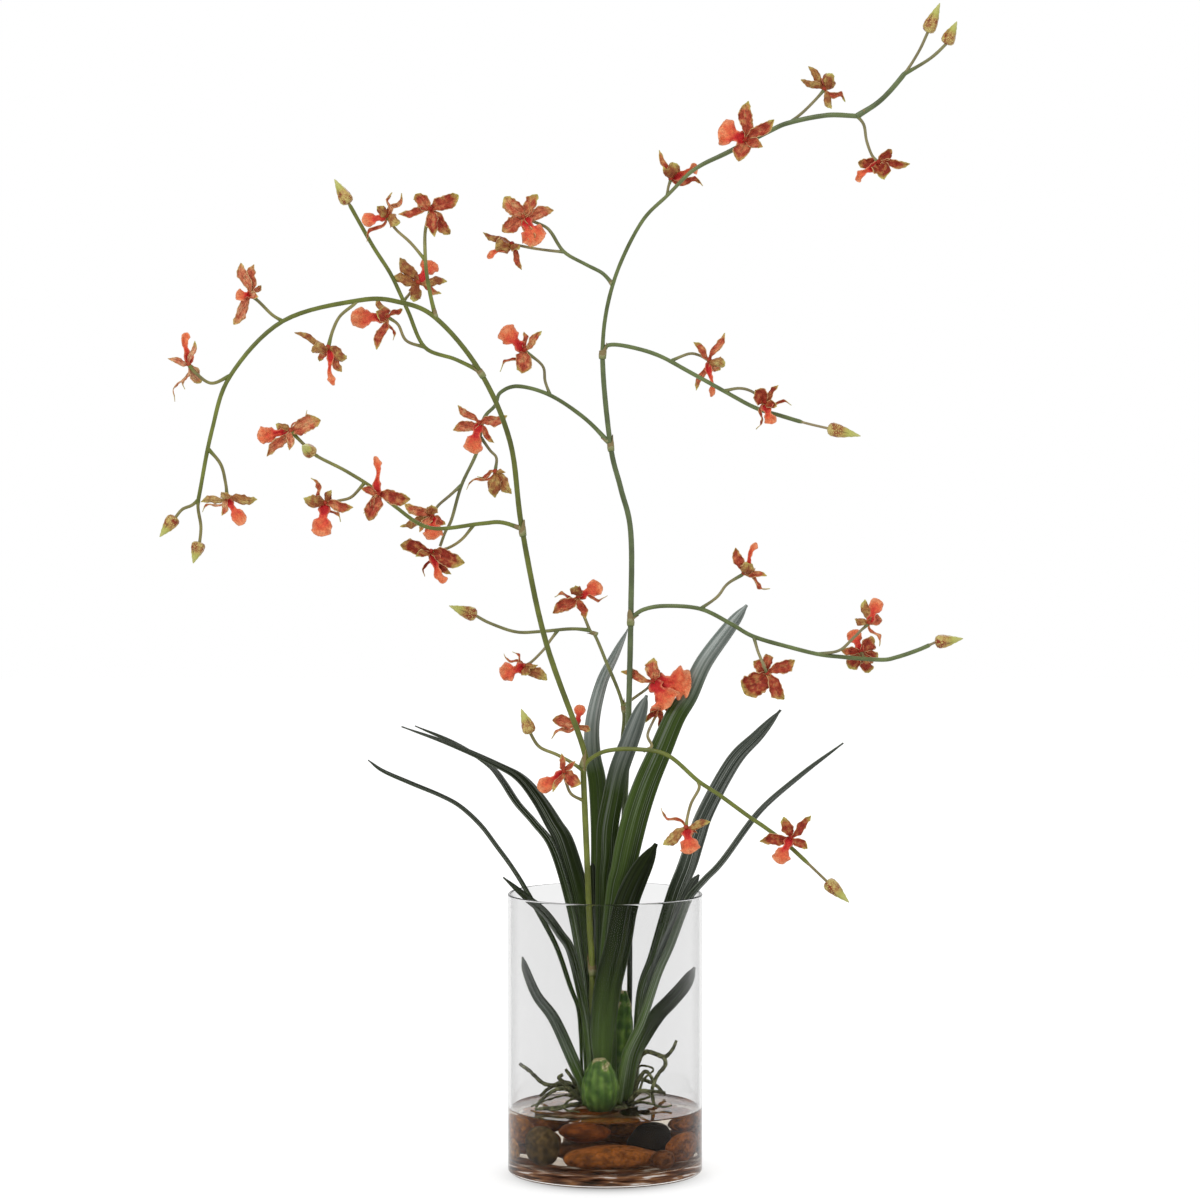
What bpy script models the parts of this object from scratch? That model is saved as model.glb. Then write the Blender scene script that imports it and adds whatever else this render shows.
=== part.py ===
# An orchid spray standing in a clear glass cylinder vase, its base held by river stones and clear resin.
# Lengths are in millimetres and are scaled to metres where each mesh is made. +Z is up, the viewer's
# side is -Y, and the origin is the centre of the vase's flat underside.

import math

import bmesh
import bpy
from mathutils import Matrix, Vector

mm = 0.001
gap = 0.3  # clearance left between neighbouring pieces

vase_radius = 76.0
vase_height = 218.0
glass_wall = 3.0
glass_base = 9.0
foot_round = 4.0
floor_round = 7.0
resin_top = 49.5
rhizome_top = 53.0
rhizome_foot = 44.0
turned_steps = 48
hub_radius = 2.2  # the column at the middle of each flower
petal_thickness = 1.0
leaf_thickness = 1.0
planned_booleans = []

# Stones: centre, half sizes, turn about Z in degrees. Each stands on the vase's floor.
stones = {
    "stone_rust": ((4, -38), (33, 19, 9.5), 4),
    "stone_olive": ((-43, -33), (12.5, 15, 16), 35),
    "stone_dark": ((23, 2), (12, 13, 16.5), 20),
    "stone_orange": ((48, -13), (12, 14, 12), -15),
}

# Leaves: width, the way the blade's width points at its foot and at its tip, and the midrib's route.
leaves = {
    "leaf_01": (11, (0.2, 1, 0), (0.3, 0.9, 0.4), [
        (-17, 13, 53.4), (-19, 9, 80), (-20, 6, 105), (-22, 4, 127), (-28, 2, 144), (-40, -2, 179),
        (-59, -8, 214), (-75, -12, 242), (-97, -18, 271), (-115, -24, 289), (-137, -30, 300), (-181, -45, 323)]),
    "leaf_02": (19, (1, 0.1, 0), (0.4, 0.6, 0.7), [
        (-12, 27, 53.4), (-14, 20, 110), (-15, 18, 160), (-17, 19, 190), (-21, 20, 216), (-32, 22, 254),
        (-41, 26, 270), (-53, 29, 289), (-67, 31, 305), (-85, 32, 315), (-120, 38, 330), (-161, 50, 344)]),
    "leaf_03": (13, (0.7, 0.7, 0), (0.3, 0.8, 0.5), [
        (-13, 20, 53.4), (-15, 14, 100), (-16, 9, 139), (-20, 8, 168), (-28, 8, 210), (-41, 10, 252),
        (-55, 12, 271), (-69, 21, 286), (-81, 39, 302), (-92, 54, 313), (-119, 68, 329), (-152, 84, 342)]),
    "leaf_04": (14, (0.7, 0.6, 0.3), (0.7, 0.2, 0.7), [
        (-14, -3, 53.4), (-18, -6, 70), (-27, -9, 92), (-40, -11, 121), (-53, -12, 139),
        (-61, -14, 158), (-64, -15, 170)]),
    "leaf_05": (9, (1, 0.2, 0), (0.7, 0.4, 0.6), [
        (-8, 2, 53.4), (-11, -1, 75), (-12, -2, 95), (-16, -5, 127), (-26, -11, 172), (-35, -15, 188),
        (-47, -19, 205), (-61, -22, 217), (-79, -25, 233)]),
    "leaf_06": (16, (1, 0.2, 0), (0.9, 0.4, -0.3), [
        (-9, 34, 53.4), (-9, 33, 150), (-5, 34, 250), (-6, 38, 298), (-10, 41, 322), (-10, 43, 349),
        (-3, 44, 379), (8, 45, 402), (18, 45, 422)]),
    "leaf_07": (17, (1, -0.1, 0), (0.95, -0.1, -0.3), [
        (-2, 13, 53.4), (-2, 12, 150), (-1, 9, 223), (1, 6, 246), (2, 3, 269), (6, 0, 292), (11, -3, 315),
        (19, -5, 337), (26, -6, 355), (32, -6, 370)]),
    "leaf_08": (24, (1, 0, 0), (0.9, 0, -0.45), [
        (2, 4.5, 53.4), (2, 3, 150), (9, -2, 217), (14, -5, 238), (19, -7, 261), (25, -8, 284), (33, -8, 307),
        (43, -7, 330), (54, -1, 355), (65, 6, 372), (77, 12, 397), (96, 16, 423), (111, 18, 442)]),
    "leaf_09": (23, (1, 0, 0), (0.9, 0.1, -0.35), [
        (-2, -3, 53.4), (-2, -4, 85), (-2, -5, 110), (2, -7, 145), (10, -11, 179), (16, -15, 210),
        (26, -20, 232), (42, -27, 256)]),
    "leaf_10": (18, (0.8, 0.5, 0), (0.7, 0.5, -0.5), [
        (23, 28, 53.4), (28, 25, 133), (40, 21, 168), (55, 16, 215), (64, 12, 238), (71, 10, 260),
        (79, 8, 282), (100, 4, 321), (119, -4, 342), (136, -12, 362)]),
    "leaf_11": (12, (0.6, 0.8, -0.2), (0.4, 0.8, -0.4), [
        (13, -1, 53.4), (20, -6, 95), (33, -9, 122), (42, -11, 156), (51, -12, 179), (60, -12, 204),
        (66, -12, 217), (78, -14, 231), (91, -16, 245), (120, -23, 284), (152, -31, 312), (183, -40, 335)]),
    "leaf_12": (14, (0.7, 0.3, -0.5), (0.6, 0.2, -0.7), [
        (17, 7, 53.4), (21, 5, 86), (27, 5, 103), (36, 4, 121), (47, 2, 134), (58, 0, 147), (66, -2, 159)]),
}

# Flowers: centre, then the lip and the tepals, each as its reach (x, y, z) from the centre and its width.
flowers = {
    "flower_01": ((-314, -86, 628), [(-2, -4, 24, 7), (6, -4, 18, 3.5), (-14, -8, 4.5, 4.5),
                  (8, 8, -13.5, 7.5), (-4.5, 8, -17.5, 3), (-12, 4, -27, 2)]),
    "flower_02": ((-268, -78, 681), [(-10, -10, -1, 9), (-8, 2, 24, 7.5), (2, 4, 22.5, 8), (7, 8, 6, 5),
                  (7.5, -7, -2, 5.5), (-12, -2, -23, 7)]),
    "flower_03": ((-210, -70, 641), [(4, -4, -28.5, 5.5), (-25, -2, 12, 4.5), (-12, -10, -2, 8.5),
                  (14, -6, -9, 7.5), (9.5, 8, -18.5, 6), (-7, 8, -9.5, 4.5)]),
    "flower_04": ((-166, -48, 665), [(-28, -3, -1, 15), (-8, -8, 4, 10), (-9, -2, -25, 6.5), (5, 4, -17, 3),
                  (11, 5, 6, 4.5), (-9, 10, 14, 4.5)]),
    "flower_05": ((-166, -52, 741), [(-19, -4, -3.5, 10), (3.5, -2, 18.5, 4), (12, 2, 17, 4),
                  (9.5, -7, -6, 8), (-17, 3, -18, 3), (-7.5, -8, 8, 6.5)]),
    "flower_06": ((-133, -54, 746), [(-24, -2, -4, 6), (-11, -3, 12, 9.5), (22, -2, 10.5, 10),
                  (3, -9, -21, 9), (14.5, 2, -18.5, 8.5)]),
    "flower_07": ((-143, -40, 691), [(11, 8, 17, 14), (-14.5, 2, 19, 8), (-20, -2, 5, 7.5),
                  (-3, -8, -14.5, 9), (22, 3, 2, 6.5), (17, 6, -8, 4.5)]),
    "flower_08": ((-285, -91, 527), [(13, -6, -19, 10), (-2, -11, 6, 8), (22.5, 2, -1, 7), (-20, 3, -2, 5.5),
                  (-20, 8, -9, 2), (-3, -6, -13, 4.5)]),
    "flower_09": ((-239, -66, 578), [(-25, -3, -4.5, 12.5), (22.5, -3, 8.5, 11), (13, 5, 15, 2),
                  (-11, -4, 5, 6.5), (-18, -4, -18.5, 7.5), (0, -8, -14, 5.5)]),
    "flower_10": ((-213, -62, 523), [(-3.5, -5, -25, 15), (-15, -8, 3.5, 9.5), (-10, 2, 20, 4.5),
                  (4.5, -6, 10, 5.5), (22, -9, -3.5, 7.5), (12, 3, -13.5, 2.5)]),
    "flower_11": ((-172, -65, 530), [(-2, -4, 29, 6), (23.5, -5, -4, 9.5), (-8, -4, -19.5, 10),
                  (-13, -3, 4.5, 5.5), (-11, 1, -15, 3.5)]),
    "flower_12": ((-135, 6, 512), [(1.5, -10, -18, 14.5), (-21, -3, 8.5, 7), (0.5, -8, 8, 8.5),
                  (-24, 4, -9, 6.5), (10.5, 0, -7, 5.5), (-9.5, -8, -12, 5.5)]),
    "flower_13": ((-134, -30, 485), [(9.5, -6, -24, 9), (-23.5, -2, 6, 9.5), (25, -6, -8.5, 11),
                  (15, 4, -18, 5.5), (-12, -8, -3, 5.5), (-6, 3, -18.5, 2.5)]),
    "flower_14": ((-98, 10, 584), [(-5.5, -7, -23, 14), (-17, 1, 13.5, 5.5), (-20.5, -4, -5, 8),
                  (22, -3, 5.5, 8.5), (11, 0, -15.5, 4.5)]),
    "flower_15": ((-86, 22, 546), [(3, 14, -10, 8), (-14, -4, -4.5, 3.5), (-23, 2, -12, 2.5),
                  (-0.5, -5, -19.5, 10), (12, -3, -17, 8.5), (8, -7, 0, 3.5)]),
    "flower_16": ((-63, 35, 641), [(-17.5, -4, 17.5, 15.5), (-0.5, 3, 15, 4), (13, -4, 15.5, 5.5),
                  (-2, -6, -18.5, 11.5), (-20.5, 2, -15.5, 3)]),
    "flower_17": ((-64, 32, 745), [(11, -8, -18, 17), (-15, -2, 15.5, 11), (11, -3, 18, 8.5),
                  (23.5, -2, 6, 9), (-16, -4, -11, 10.5), (8, -8, -23.5, 6.5)]),
    "flower_18": ((-73, 36, 724), [(-19.5, -3, -10, 5.5), (-23, 2, 9, 5), (-13, -8, -3, 11.5),
                  (7, 3, -19.5, 4.5), (6, -9, -4, 6.5)]),
    "flower_19": ((51, 8, 773), [(20.5, -3, 10.5, 8.5), (-9.5, -2, 22.5, 4), (1.5, -8, 12.5, 9),
                  (25.5, 4, -3, 5), (-6, -8, 9, 4)]),
    "flower_20": ((108, -23, 801), [(-21, -5, 8, 19.5), (1, -2, 30, 10), (22, -3, 15, 8.5),
                  (-6, -6, -16, 11), (12.5, -6, -5, 7.5)]),
    "flower_21": ((169, -8, 841), [(2, 16, 8, 10), (-12, -2, 18, 5.5), (-18, -3, 7, 5.5), (5, -6, 12, 10),
                  (17, 2, -8, 5), (5, -4, -15.5, 5.5)]),
    "flower_22": ((209, -34, 783), [(-18, -4, -13, 7.5), (-15, 3, 0, 7.5), (4, -8, -12, 11.5),
                  (24, -2, -1.5, 6), (10, -2, 10, 6.5)]),
    "flower_23": ((81, 12, 633), [(2, -3, -28.5, 5.5), (-12, -4, 14.5, 5.5), (12.5, -2, 21, 5.5),
                  (12, -8, -4, 7.5), (-10.5, 3, -23, 4.5), (9, 4, -8, 6)]),
    "flower_24": ((123, -21, 600), [(5.5, -5, -16.5, 10), (-8, -8, 10, 10.5), (10, -3, 13.5, 4.5),
                  (20.5, 2, -1, 2.5), (9, -8, -3, 5.5), (-6, 0, -21, 2.5)]),
    "flower_25": ((108, 4, 467), [(9, -3, 24.5, 5.5), (-7, -3, 20, 7.5), (4, -10, 8, 10), (18, -3, -1, 4.5),
                  (19.5, 3, -13, 4.5)]),
    "flower_26": ((203, -32, 430), [(7, -4, 19, 10.5), (-4, -3, 19, 6.5), (-12, -6, 3.5, 5.5),
                  (9, -3, -17, 3), (10, 6, 4, 7)]),
    "flower_27": ((198, -18, 407), [(-7, 4, 17, 11.5), (-16, 0, 1.5, 6.5), (-9, 4, -12.5, 10),
                  (6.5, 4, -16, 9.5), (13, 5, -5, 8.5), (9.5, 6, 11, 10)]),
    "flower_28": ((125, -22, 391), [(-17.5, 2, -14, 14.5), (-10, 2, 9.5, 8.5), (0, 6, 15, 7.5),
                  (21.5, 3, 9.5, 9.5), (13, 3, -21, 10)]),
    "flower_29": ((-21, 22, 448), [(18, -5, 10, 12.5), (-2.5, -10, 10, 8), (-20, -3, -12, 9.5),
                  (-18.5, 3, 1, 3.5), (6.5, -5, -17, 6.5), (22.5, 3, 0, 2.5)]),
    "flower_30": ((-63, 16, 394), [(-19, -4, -6, 14.5), (-17, 3, 9, 2.5), (-9, 2, 12, 2),
                  (17.5, -5, -10, 8.5), (9.5, -7, 1, 4.5), (1, -9, -7, 7.5)]),
    "flower_31": ((-22, -3, 350), [(3, 3, 15, 8.5), (-19, -2, 4, 8.5), (-20, 3, -10, 3.5), (10, 5, -5, 5)]),
    "flower_32": ((-32, -27, 315), [(-19.5, -5, -13.5, 11.5), (-1.5, -3, 14.5, 4.5), (-9, -8, -15, 4),
                  (9, -4, 8.5, 4.5), (13, -3, -9.5, 9.5)]),
    "flower_33": ((37, 4, 383), [(25, -4, -8, 24), (0.5, -3, 18.5, 10.5), (-23, 15, 7, 6.5),
                  (0, 3, -8, 3.5)]),
    "flower_34": ((44, 10, 363), [(-8, -3, -6, 8.5), (-13, -2, -12, 4), (-2, -8, -21, 5.5), (12, 1, 1, 8.5)]),
    "flower_35": ((62, -50, 274), [(3.5, -7, -19, 14.5), (-17.5, -3, -13, 8), (18.5, -3, 5.5, 5.5),
                  (-20, 3, 14, 3), (7, 9, -5, 6)]),
    "flower_36": ((141, -74, 269), [(-10, -5, -19, 12.5), (-23.5, -3, -2, 8.5), (-6, -3, 16, 8.5),
                  (15, -2, 17, 6.5), (13, -1, -8, 6.5)]),
}

# Flower stems: each route is a start radius, an end radius, its points, and what it ends in: nothing,
# a bud that reaches the tip given, or the flower named.
stem_left = [
    (2.7, 1.5, [(-7, 8.5, 53.3), (-9, 7, 95), (-10, 4, 134), (-10, 1, 160), (-12, -3, 192), (-14, -9, 243),
                (-17, -15, 315), (-17, -17, 333), (-46, -24, 416), (-64, -32, 503), (-73, -38, 570),
                (-96, -46, 624), (-129, -54, 664), (-157, -60, 676), (-187, -65, 677), (-244, -74, 661),
                (-283, -80, 620), (-297, -84, 578), (-307, -88, 526)], None),
    (1.1, 1.0, [(-307, -88, 526), (-312, -88, 522), (-319, -89, 519), (-324, -90, 513)], (-336, -92, 498)),
    (1.1, 1.0, [(-307, -88, 526), (-307, -89, 519), (-305, -89, 506), (-306, -89, 494)], (-311, -90, 478)),
    (1.1, 1.0, [(-283, -80, 620), (-297, -83, 614), (-308, -86, 621)], "flower_01"),
    (1.1, 1.0, [(-244, -74, 661), (-252, -76, 666), (-261, -77, 675)], "flower_02"),
    (1.1, 1.0, [(-187, -65, 677), (-196, -68, 661), (-205, -69, 648)], "flower_03"),
    (1.1, 1.0, [(-300, -85, 565), (-290, -88, 553), (-286, -90, 538)], "flower_08"),
    # spur and pedicels beside the first joint
    (1.2, 1.0, [(-17, -15, 315), (-27, -17, 322), (-38, -19, 328), (-51, -21, 334), (-58, -23, 345)],
     (-65, -25, 364)),
    (1.0, 0.9, [(-16, -13, 291), (-26, -20, 297), (-30, -25, 306)], "flower_32"),
    (1.0, 0.9, [(-18, -17, 335), (-19, -9, 338), (-21, -5, 343)], "flower_31"),
    # long branch falling to the right
    (1.5, 1.1, [(-17, -15, 315), (-13, -18, 323), (1, -24, 331), (24, -32, 333), (48, -40, 329),
                (71, -46, 310), (88, -51, 299), (109, -56, 284), (124, -60, 274), (141, -64, 261),
                (169, -70, 235)], (186, -73, 219)),
    (1.0, 0.9, [(30, -34, 332), (36, -26, 335), (33, -8, 342), (38, 14, 352)], "flower_34"),
    (1.0, 0.9, [(71, -46, 310), (72, -47, 304), (66, -49, 293), (63, -50, 282)], "flower_35"),
    (1.0, 0.9, [(134, -62, 266), (138, -68, 267)], "flower_36"),
    # branch to the left from the second joint
    (1.5, 1.0, [(-64, -32, 503), (-80, -36, 508), (-96, -40, 507), (-134, -48, 504), (-161, -54, 521),
                (-176, -57, 534), (-198, -61, 548), (-219, -65, 559), (-228, -65, 567)], "flower_09"),
    (1.0, 0.9, [(-219, -65, 559), (-223, -69, 562)], (-229, -84, 567)),
    (1.0, 0.9, [(-183, -58, 539), (-193, -60, 528), (-203, -61, 525)], "flower_10"),
    (1.0, 0.9, [(-172, -56, 530), (-172, -60, 530)], "flower_11"),
    (1.0, 0.9, [(-100, -41, 507), (-110, -34, 495), (-121, -28, 488)], "flower_13"),
    # branch behind the arch
    (1.4, 1.0, [(-96, -46, 624), (-115, -43, 633), (-138, -41, 642), (-150, -44, 668), (-154, -45, 677),
                (-164, -44, 698), (-178, -42, 720), (-191, -41, 744)], (-204, -40, 764)),
    (1.0, 0.9, [(-138, -41, 642), (-152, -45, 647), (-158, -46, 659)], "flower_04"),
    (1.0, 0.9, [(-154, -45, 677), (-149, -36, 684)], "flower_07"),
    # branch above the arch
    (1.4, 1.0, [(-129, -54, 664), (-133, -55, 681), (-136, -56, 699), (-137, -56, 714), (-137, -52, 730)],
     "flower_06"),
    (1.0, 0.9, [(-137, -56, 708), (-148, -55, 721), (-159, -54, 731)], "flower_05"),
]
stem_right = [
    (2.3, 1.4, [(11, 38, 53.3), (11, 36, 134), (13, 28, 220), (16, 18, 298), (18, 11, 345), (20, 8, 432),
                (22, 12, 499), (16, 16, 534), (4, 18, 568), (-2, 18, 640), (6, 14, 692), (27, 6, 738), (49, 0, 761),
                (69, -4, 780), (95, -9, 793), (127, -14, 809), (142, -18, 815), (170, -25, 820),
                (193, -30, 819)], None),
    (1.3, 1.0, [(193, -30, 819), (211, -34, 831), (228, -38, 850), (239, -40, 867), (246, -41, 882)],
     (255, -43, 904)),
    (1.1, 1.0, [(228, -38, 850), (248, -40, 862), (260, -41, 873)], (268, -43, 890)),
    (1.0, 0.9, [(48, 0, 760), (49, 5, 767)], "flower_19"),
    (1.0, 0.9, [(105, -11, 798), (107, -17, 800)], "flower_20"),
    (1.0, 0.9, [(142, -18, 815), (152, -15, 823), (162, -11, 833)], "flower_21"),
    (1.0, 0.9, [(193, -30, 819), (198, -32, 812), (200, -33, 800), (204, -34, 789)], "flower_22"),
    # branch to the right from the first joint
    (1.5, 1.0, [(20, 8, 432), (30, 6, 439), (47, 2, 442), (74, -4, 440), (97, -10, 429), (115, -15, 419),
                (143, -20, 411), (164, -24, 406), (182, -27, 404), (212, -31, 402), (224, -33, 404),
                (241, -36, 410), (254, -38, 416)], (275, -42, 419)),
    (1.0, 0.9, [(74, -4, 440), (87, 0, 449), (95, 2, 459)], "flower_25"),
    (1.0, 0.9, [(115, -15, 419), (118, -22, 408), (122, -28, 398)], "flower_28"),
    (1.0, 0.9, [(164, -24, 406), (180, -30, 409), (190, -34, 418), (197, -34, 425)], "flower_26"),
    (1.0, 0.9, [(199, -29, 403), (199, -24, 405)], "flower_27"),
    # branch falling to the left from the second joint
    (1.5, 1.0, [(4, 18, 568), (-16, 24, 588), (-43, 28, 606), (-68, 28, 613), (-82, 26, 608),
                (-86, 24, 598), (-95, 20, 587), (-100, 17, 562), (-112, 16, 536), (-120, 18, 509),
                (-125, 18, 499)], (-131, 16, 482)),
    (1.0, 0.9, [(-43, 28, 606), (-47, 31, 617), (-49, 33, 629)], "flower_16"),
    (1.0, 0.9, [(-96, 20, 585), (-97, 16, 584)], "flower_14"),
    (1.0, 0.9, [(-97, 18, 573), (-90, 20, 563), (-85, 22, 557)], "flower_15"),
    (1.0, 0.9, [(-112, 16, 536), (-122, 12, 527), (-130, 8, 520)], "flower_12"),
    # branch to the right from the third joint
    (1.5, 1.0, [(-2, 18, 640), (3, 18, 645), (17, 16, 644), (41, 10, 637), (67, 3, 623), (92, -4, 609),
                (116, -11, 596), (135, -16, 590), (155, -20, 584), (172, -23, 580)], (197, -27, 574)),
    (1.0, 0.9, [(50, 8, 632), (65, 11, 638), (73, 12, 637)], "flower_23"),
    (1.0, 0.9, [(92, -4, 609), (104, -12, 611), (114, -19, 608)], "flower_24"),
    # fork to the left from the fourth joint
    (1.4, 1.0, [(6, 14, 692), (-2, 22, 701), (-15, 26, 708), (-32, 31, 718), (-42, 35, 733), (-47, 37, 738),
                (-56, 37, 742)], "flower_17"),
    (1.0, 0.9, [(-32, 31, 718), (-42, 33, 719), (-56, 36, 721), (-66, 36, 723)], "flower_18"),
]
stem_middle = [
    (1.6, 1.2, [(2, 47, 53.3), (3, 45, 150), (9, 37, 260), (13, 32, 329), (14, 29, 362), (0, 26, 399),
                (-8, 25, 418), (-12, 25, 422), (-19, 24, 440)], "flower_29"),
    (1.2, 1.0, [(-12, 25, 422), (-27, 24, 423), (-51, 22, 421), (-70, 18, 421), (-90, 14, 428),
                (-101, 12, 434)], (-122, 8, 442)),
    (1.0, 0.9, [(-37, 23, 422), (-43, 22, 414), (-48, 21, 407), (-57, 18, 398)], "flower_30"),
    (1.0, 0.9, [(14, 29, 362), (26, 25, 371), (33, 14, 377)], "flower_33"),
]

# Roots: routes from the rhizome, all lying above the resin.
roots = [
    [(-15, 22, 51), (-28, 15, 64), (-42, 6, 66), (-50, 3, 69), (-58, 2, 77), (-67, 1, 84)],
    [(-13, 6, 51), (-25, 0, 62), (-36, -4, 65), (-46, -8, 60), (-54, -11, 52)],
    [(-13, 5, 51), (-23, -4, 59), (-33, -8, 71), (-36, -9, 75), (-33, -10, 77)],
    [(-17, 21, 51), (-25, 17, 68), (-31, 16, 77)],
    [(-14, 8, 52), (-34, -14, 52.5), (-54, -22, 52)],
    [(18, 16, 49), (25, 14, 80), (31, 12, 91), (39, 12, 90), (46, 10, 87), (47, 8, 81), (41, 5, 74),
     (37, 2, 63), (38, 0, 52)],
    [(40, 12, 89.5), (47, 10, 88), (53, 8, 94), (56, 8, 101)],
    [(20, 10, 49), (25, 12, 66), (31, 10, 76), (36, 6, 73), (38, 3, 66)],
    [(16, 6, 49), (25, -2, 62), (36, -4, 63), (47, -5, 62)],
    [(12, 40, 49), (24, 52, 62), (38, 52, 60), (48, 46, 52)],
    [(-12, 34, 49), (-30, 42, 62), (-44, 42, 58), (-52, 38, 52)],
]


def clear_scene():
    for obj in list(bpy.data.objects):
        bpy.data.objects.remove(obj)


def collection(name):
    made = bpy.data.collections.new(name)
    bpy.context.scene.collection.children.link(made)
    return made


def material(name, colour, roughness, alpha=1.0):
    made = bpy.data.materials.new(name)
    made.use_nodes = True
    shader = made.node_tree.nodes["Principled BSDF"]
    shader.inputs["Base Color"].default_value = (*colour, 1.0)
    shader.inputs["Roughness"].default_value = roughness
    shader.inputs["Metallic"].default_value = 0.0
    shader.inputs["Alpha"].default_value = alpha
    made.diffuse_color = (*colour, alpha)
    return made


def object_from(name, shape, place, finish=None):
    """Makes an object from a bmesh in millimetres, with its faces turned outward."""
    bmesh.ops.recalc_face_normals(shape, faces=shape.faces)
    bmesh.ops.scale(shape, vec=(mm, mm, mm), verts=shape.verts)
    mesh = bpy.data.meshes.new(name)
    shape.to_mesh(mesh)
    shape.free()
    obj = bpy.data.objects.new(name, mesh)
    place.objects.link(obj)
    if finish:
        mesh.materials.append(finish)
    return obj


def hide(obj):
    obj.hide_render = True
    obj.display_type = "WIRE"


def arc(centre_r, centre_z, radius, start, end, count):
    """Points of an arc in the (radius, height) plane, angles in degrees."""
    found = []
    for i in range(count + 1):
        angle = math.radians(start + (end - start) * i / count)
        found.append((centre_r + radius * math.cos(angle), centre_z + radius * math.sin(angle)))
    return found


def turned(name, profile, place, finish):
    """A Screw modifier turns a profile of (radius, height) points that starts and ends on the axis."""
    mesh = bpy.data.meshes.new(name)
    points = [(r * mm, 0, z * mm) for r, z in profile]
    mesh.from_pydata(points, [(i, i + 1) for i in range(len(points) - 1)], [])
    mesh.materials.append(finish)
    obj = bpy.data.objects.new(name, mesh)
    place.objects.link(obj)
    screw = obj.modifiers.new("turn", "SCREW")
    screw.steps = turned_steps
    screw.render_steps = turned_steps
    screw.use_merge_vertices = True
    screw.merge_threshold = 1e-5
    screw.use_smooth_shade = False
    return obj


def smooth_route(points, parts=2):
    """A Catmull-Rom route through the points, each span cut into the given number of parts."""
    points = [Vector(p) for p in points]
    if len(points) < 3:
        return points
    padded = [2 * points[0] - points[1]] + points + [2 * points[-1] - points[-2]]
    route = []
    for i in range(1, len(padded) - 2):
        a, b, c, d = padded[i - 1:i + 3]
        for k in range(parts):
            t = k / parts
            route.append(0.5 * ((2 * b) + (c - a) * t + (2 * a - 5 * b + 4 * c - d) * t ** 2
                                + (3 * b - a - 3 * c + d) * t ** 3))
    route.append(points[-1])
    return route


def tube(name, route, radii, sides, place, finish=None):
    """A round bar along a route, made as a POLY curve and kept as a mesh with welded caps."""
    curve = bpy.data.curves.new(name, "CURVE")
    curve.dimensions = "3D"
    curve.bevel_depth = mm
    curve.bevel_resolution = (sides - 4) // 2
    curve.use_fill_caps = True
    spline = curve.splines.new("POLY")
    spline.points.add(len(route) - 1)
    for point, at, radius in zip(spline.points, route, radii):
        point.co = (*(Vector(at) * mm), 1)
        point.radius = radius
    wire = bpy.data.objects.new(name, curve)
    place.objects.link(wire)
    graph = bpy.context.evaluated_depsgraph_get()
    mesh = bpy.data.meshes.new_from_object(wire.evaluated_get(graph))
    bpy.data.objects.remove(wire)
    shape = bmesh.new()
    shape.from_mesh(mesh)
    bmesh.ops.remove_doubles(shape, verts=shape.verts, dist=1e-6)
    bmesh.ops.recalc_face_normals(shape, faces=shape.faces)
    shape.to_mesh(mesh)
    shape.free()
    obj = bpy.data.objects.new(name, mesh)
    place.objects.link(obj)
    if finish:
        mesh.materials.append(finish)
    return obj


def tapered(start, end, count):
    return [start + (end - start) * i / (count - 1) for i in range(count)]


def boolean(obj, operation, pieces):
    """Joins or cuts the object with every piece of a collection, once all the curves are meshes."""
    planned_booleans.append((obj, operation, pieces))


def add_boolean(obj, operation, pieces):
    modifier = obj.modifiers.new(operation.lower(), "BOOLEAN")
    modifier.operation = operation
    modifier.solver = "EXACT"
    modifier.use_self = operation == "UNION"
    modifier.operand_type = "COLLECTION"
    modifier.collection = pieces
    for piece in pieces.objects:
        hide(piece)


def ellipsoid(name, centre, half, turn, segments, rings, place, finish=None):
    shape = bmesh.new()
    bmesh.ops.create_uvsphere(shape, u_segments=segments, v_segments=rings, radius=1)
    turning = Matrix.Rotation(math.radians(turn), 4, "Z")
    placing = Matrix.Translation(centre) @ turning @ Matrix.Diagonal((*half, 1))
    bmesh.ops.transform(shape, matrix=placing, verts=shape.verts)
    return object_from(name, shape, place, finish)


# The holder

def glass_vase(place, finish):
    inner = vase_radius - glass_wall
    rim = glass_wall / 2
    profile = [(0, glass_base)]
    profile += arc(inner - floor_round, glass_base + floor_round, floor_round, -90, 0, 3)
    profile += arc(vase_radius - rim, vase_height - rim, rim, 180, 0, 4)
    profile += arc(vase_radius - foot_round, foot_round, foot_round, 0, -90, 3)
    profile.append((0, 0))
    return turned("glass_vase", profile, place, finish)


def stone(name, centre, half, turn, place, finish, grow=0.0):
    """A flattened pebble standing just clear of the vase's floor."""
    height = glass_base + gap + half[2]
    grown = [size + grow for size in half]
    return ellipsoid(name, (*centre, height), grown, turn, 14, 9, place, finish)


def rhizome(name, grow, place, finish=None):
    shape = bmesh.new()
    half_height = (rhizome_top - rhizome_foot) / 2 + grow
    bmesh.ops.create_cone(shape, cap_ends=True, segments=16, radius1=21 + grow, radius2=24 + grow,
                          depth=2 * half_height)
    placing = Matrix.Translation((3, 20, (rhizome_top + rhizome_foot) / 2)) @ Matrix.Diagonal((1, 1.2, 1, 1))
    bmesh.ops.transform(shape, matrix=placing, verts=shape.verts)
    return object_from(name, shape, place, finish)


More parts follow.
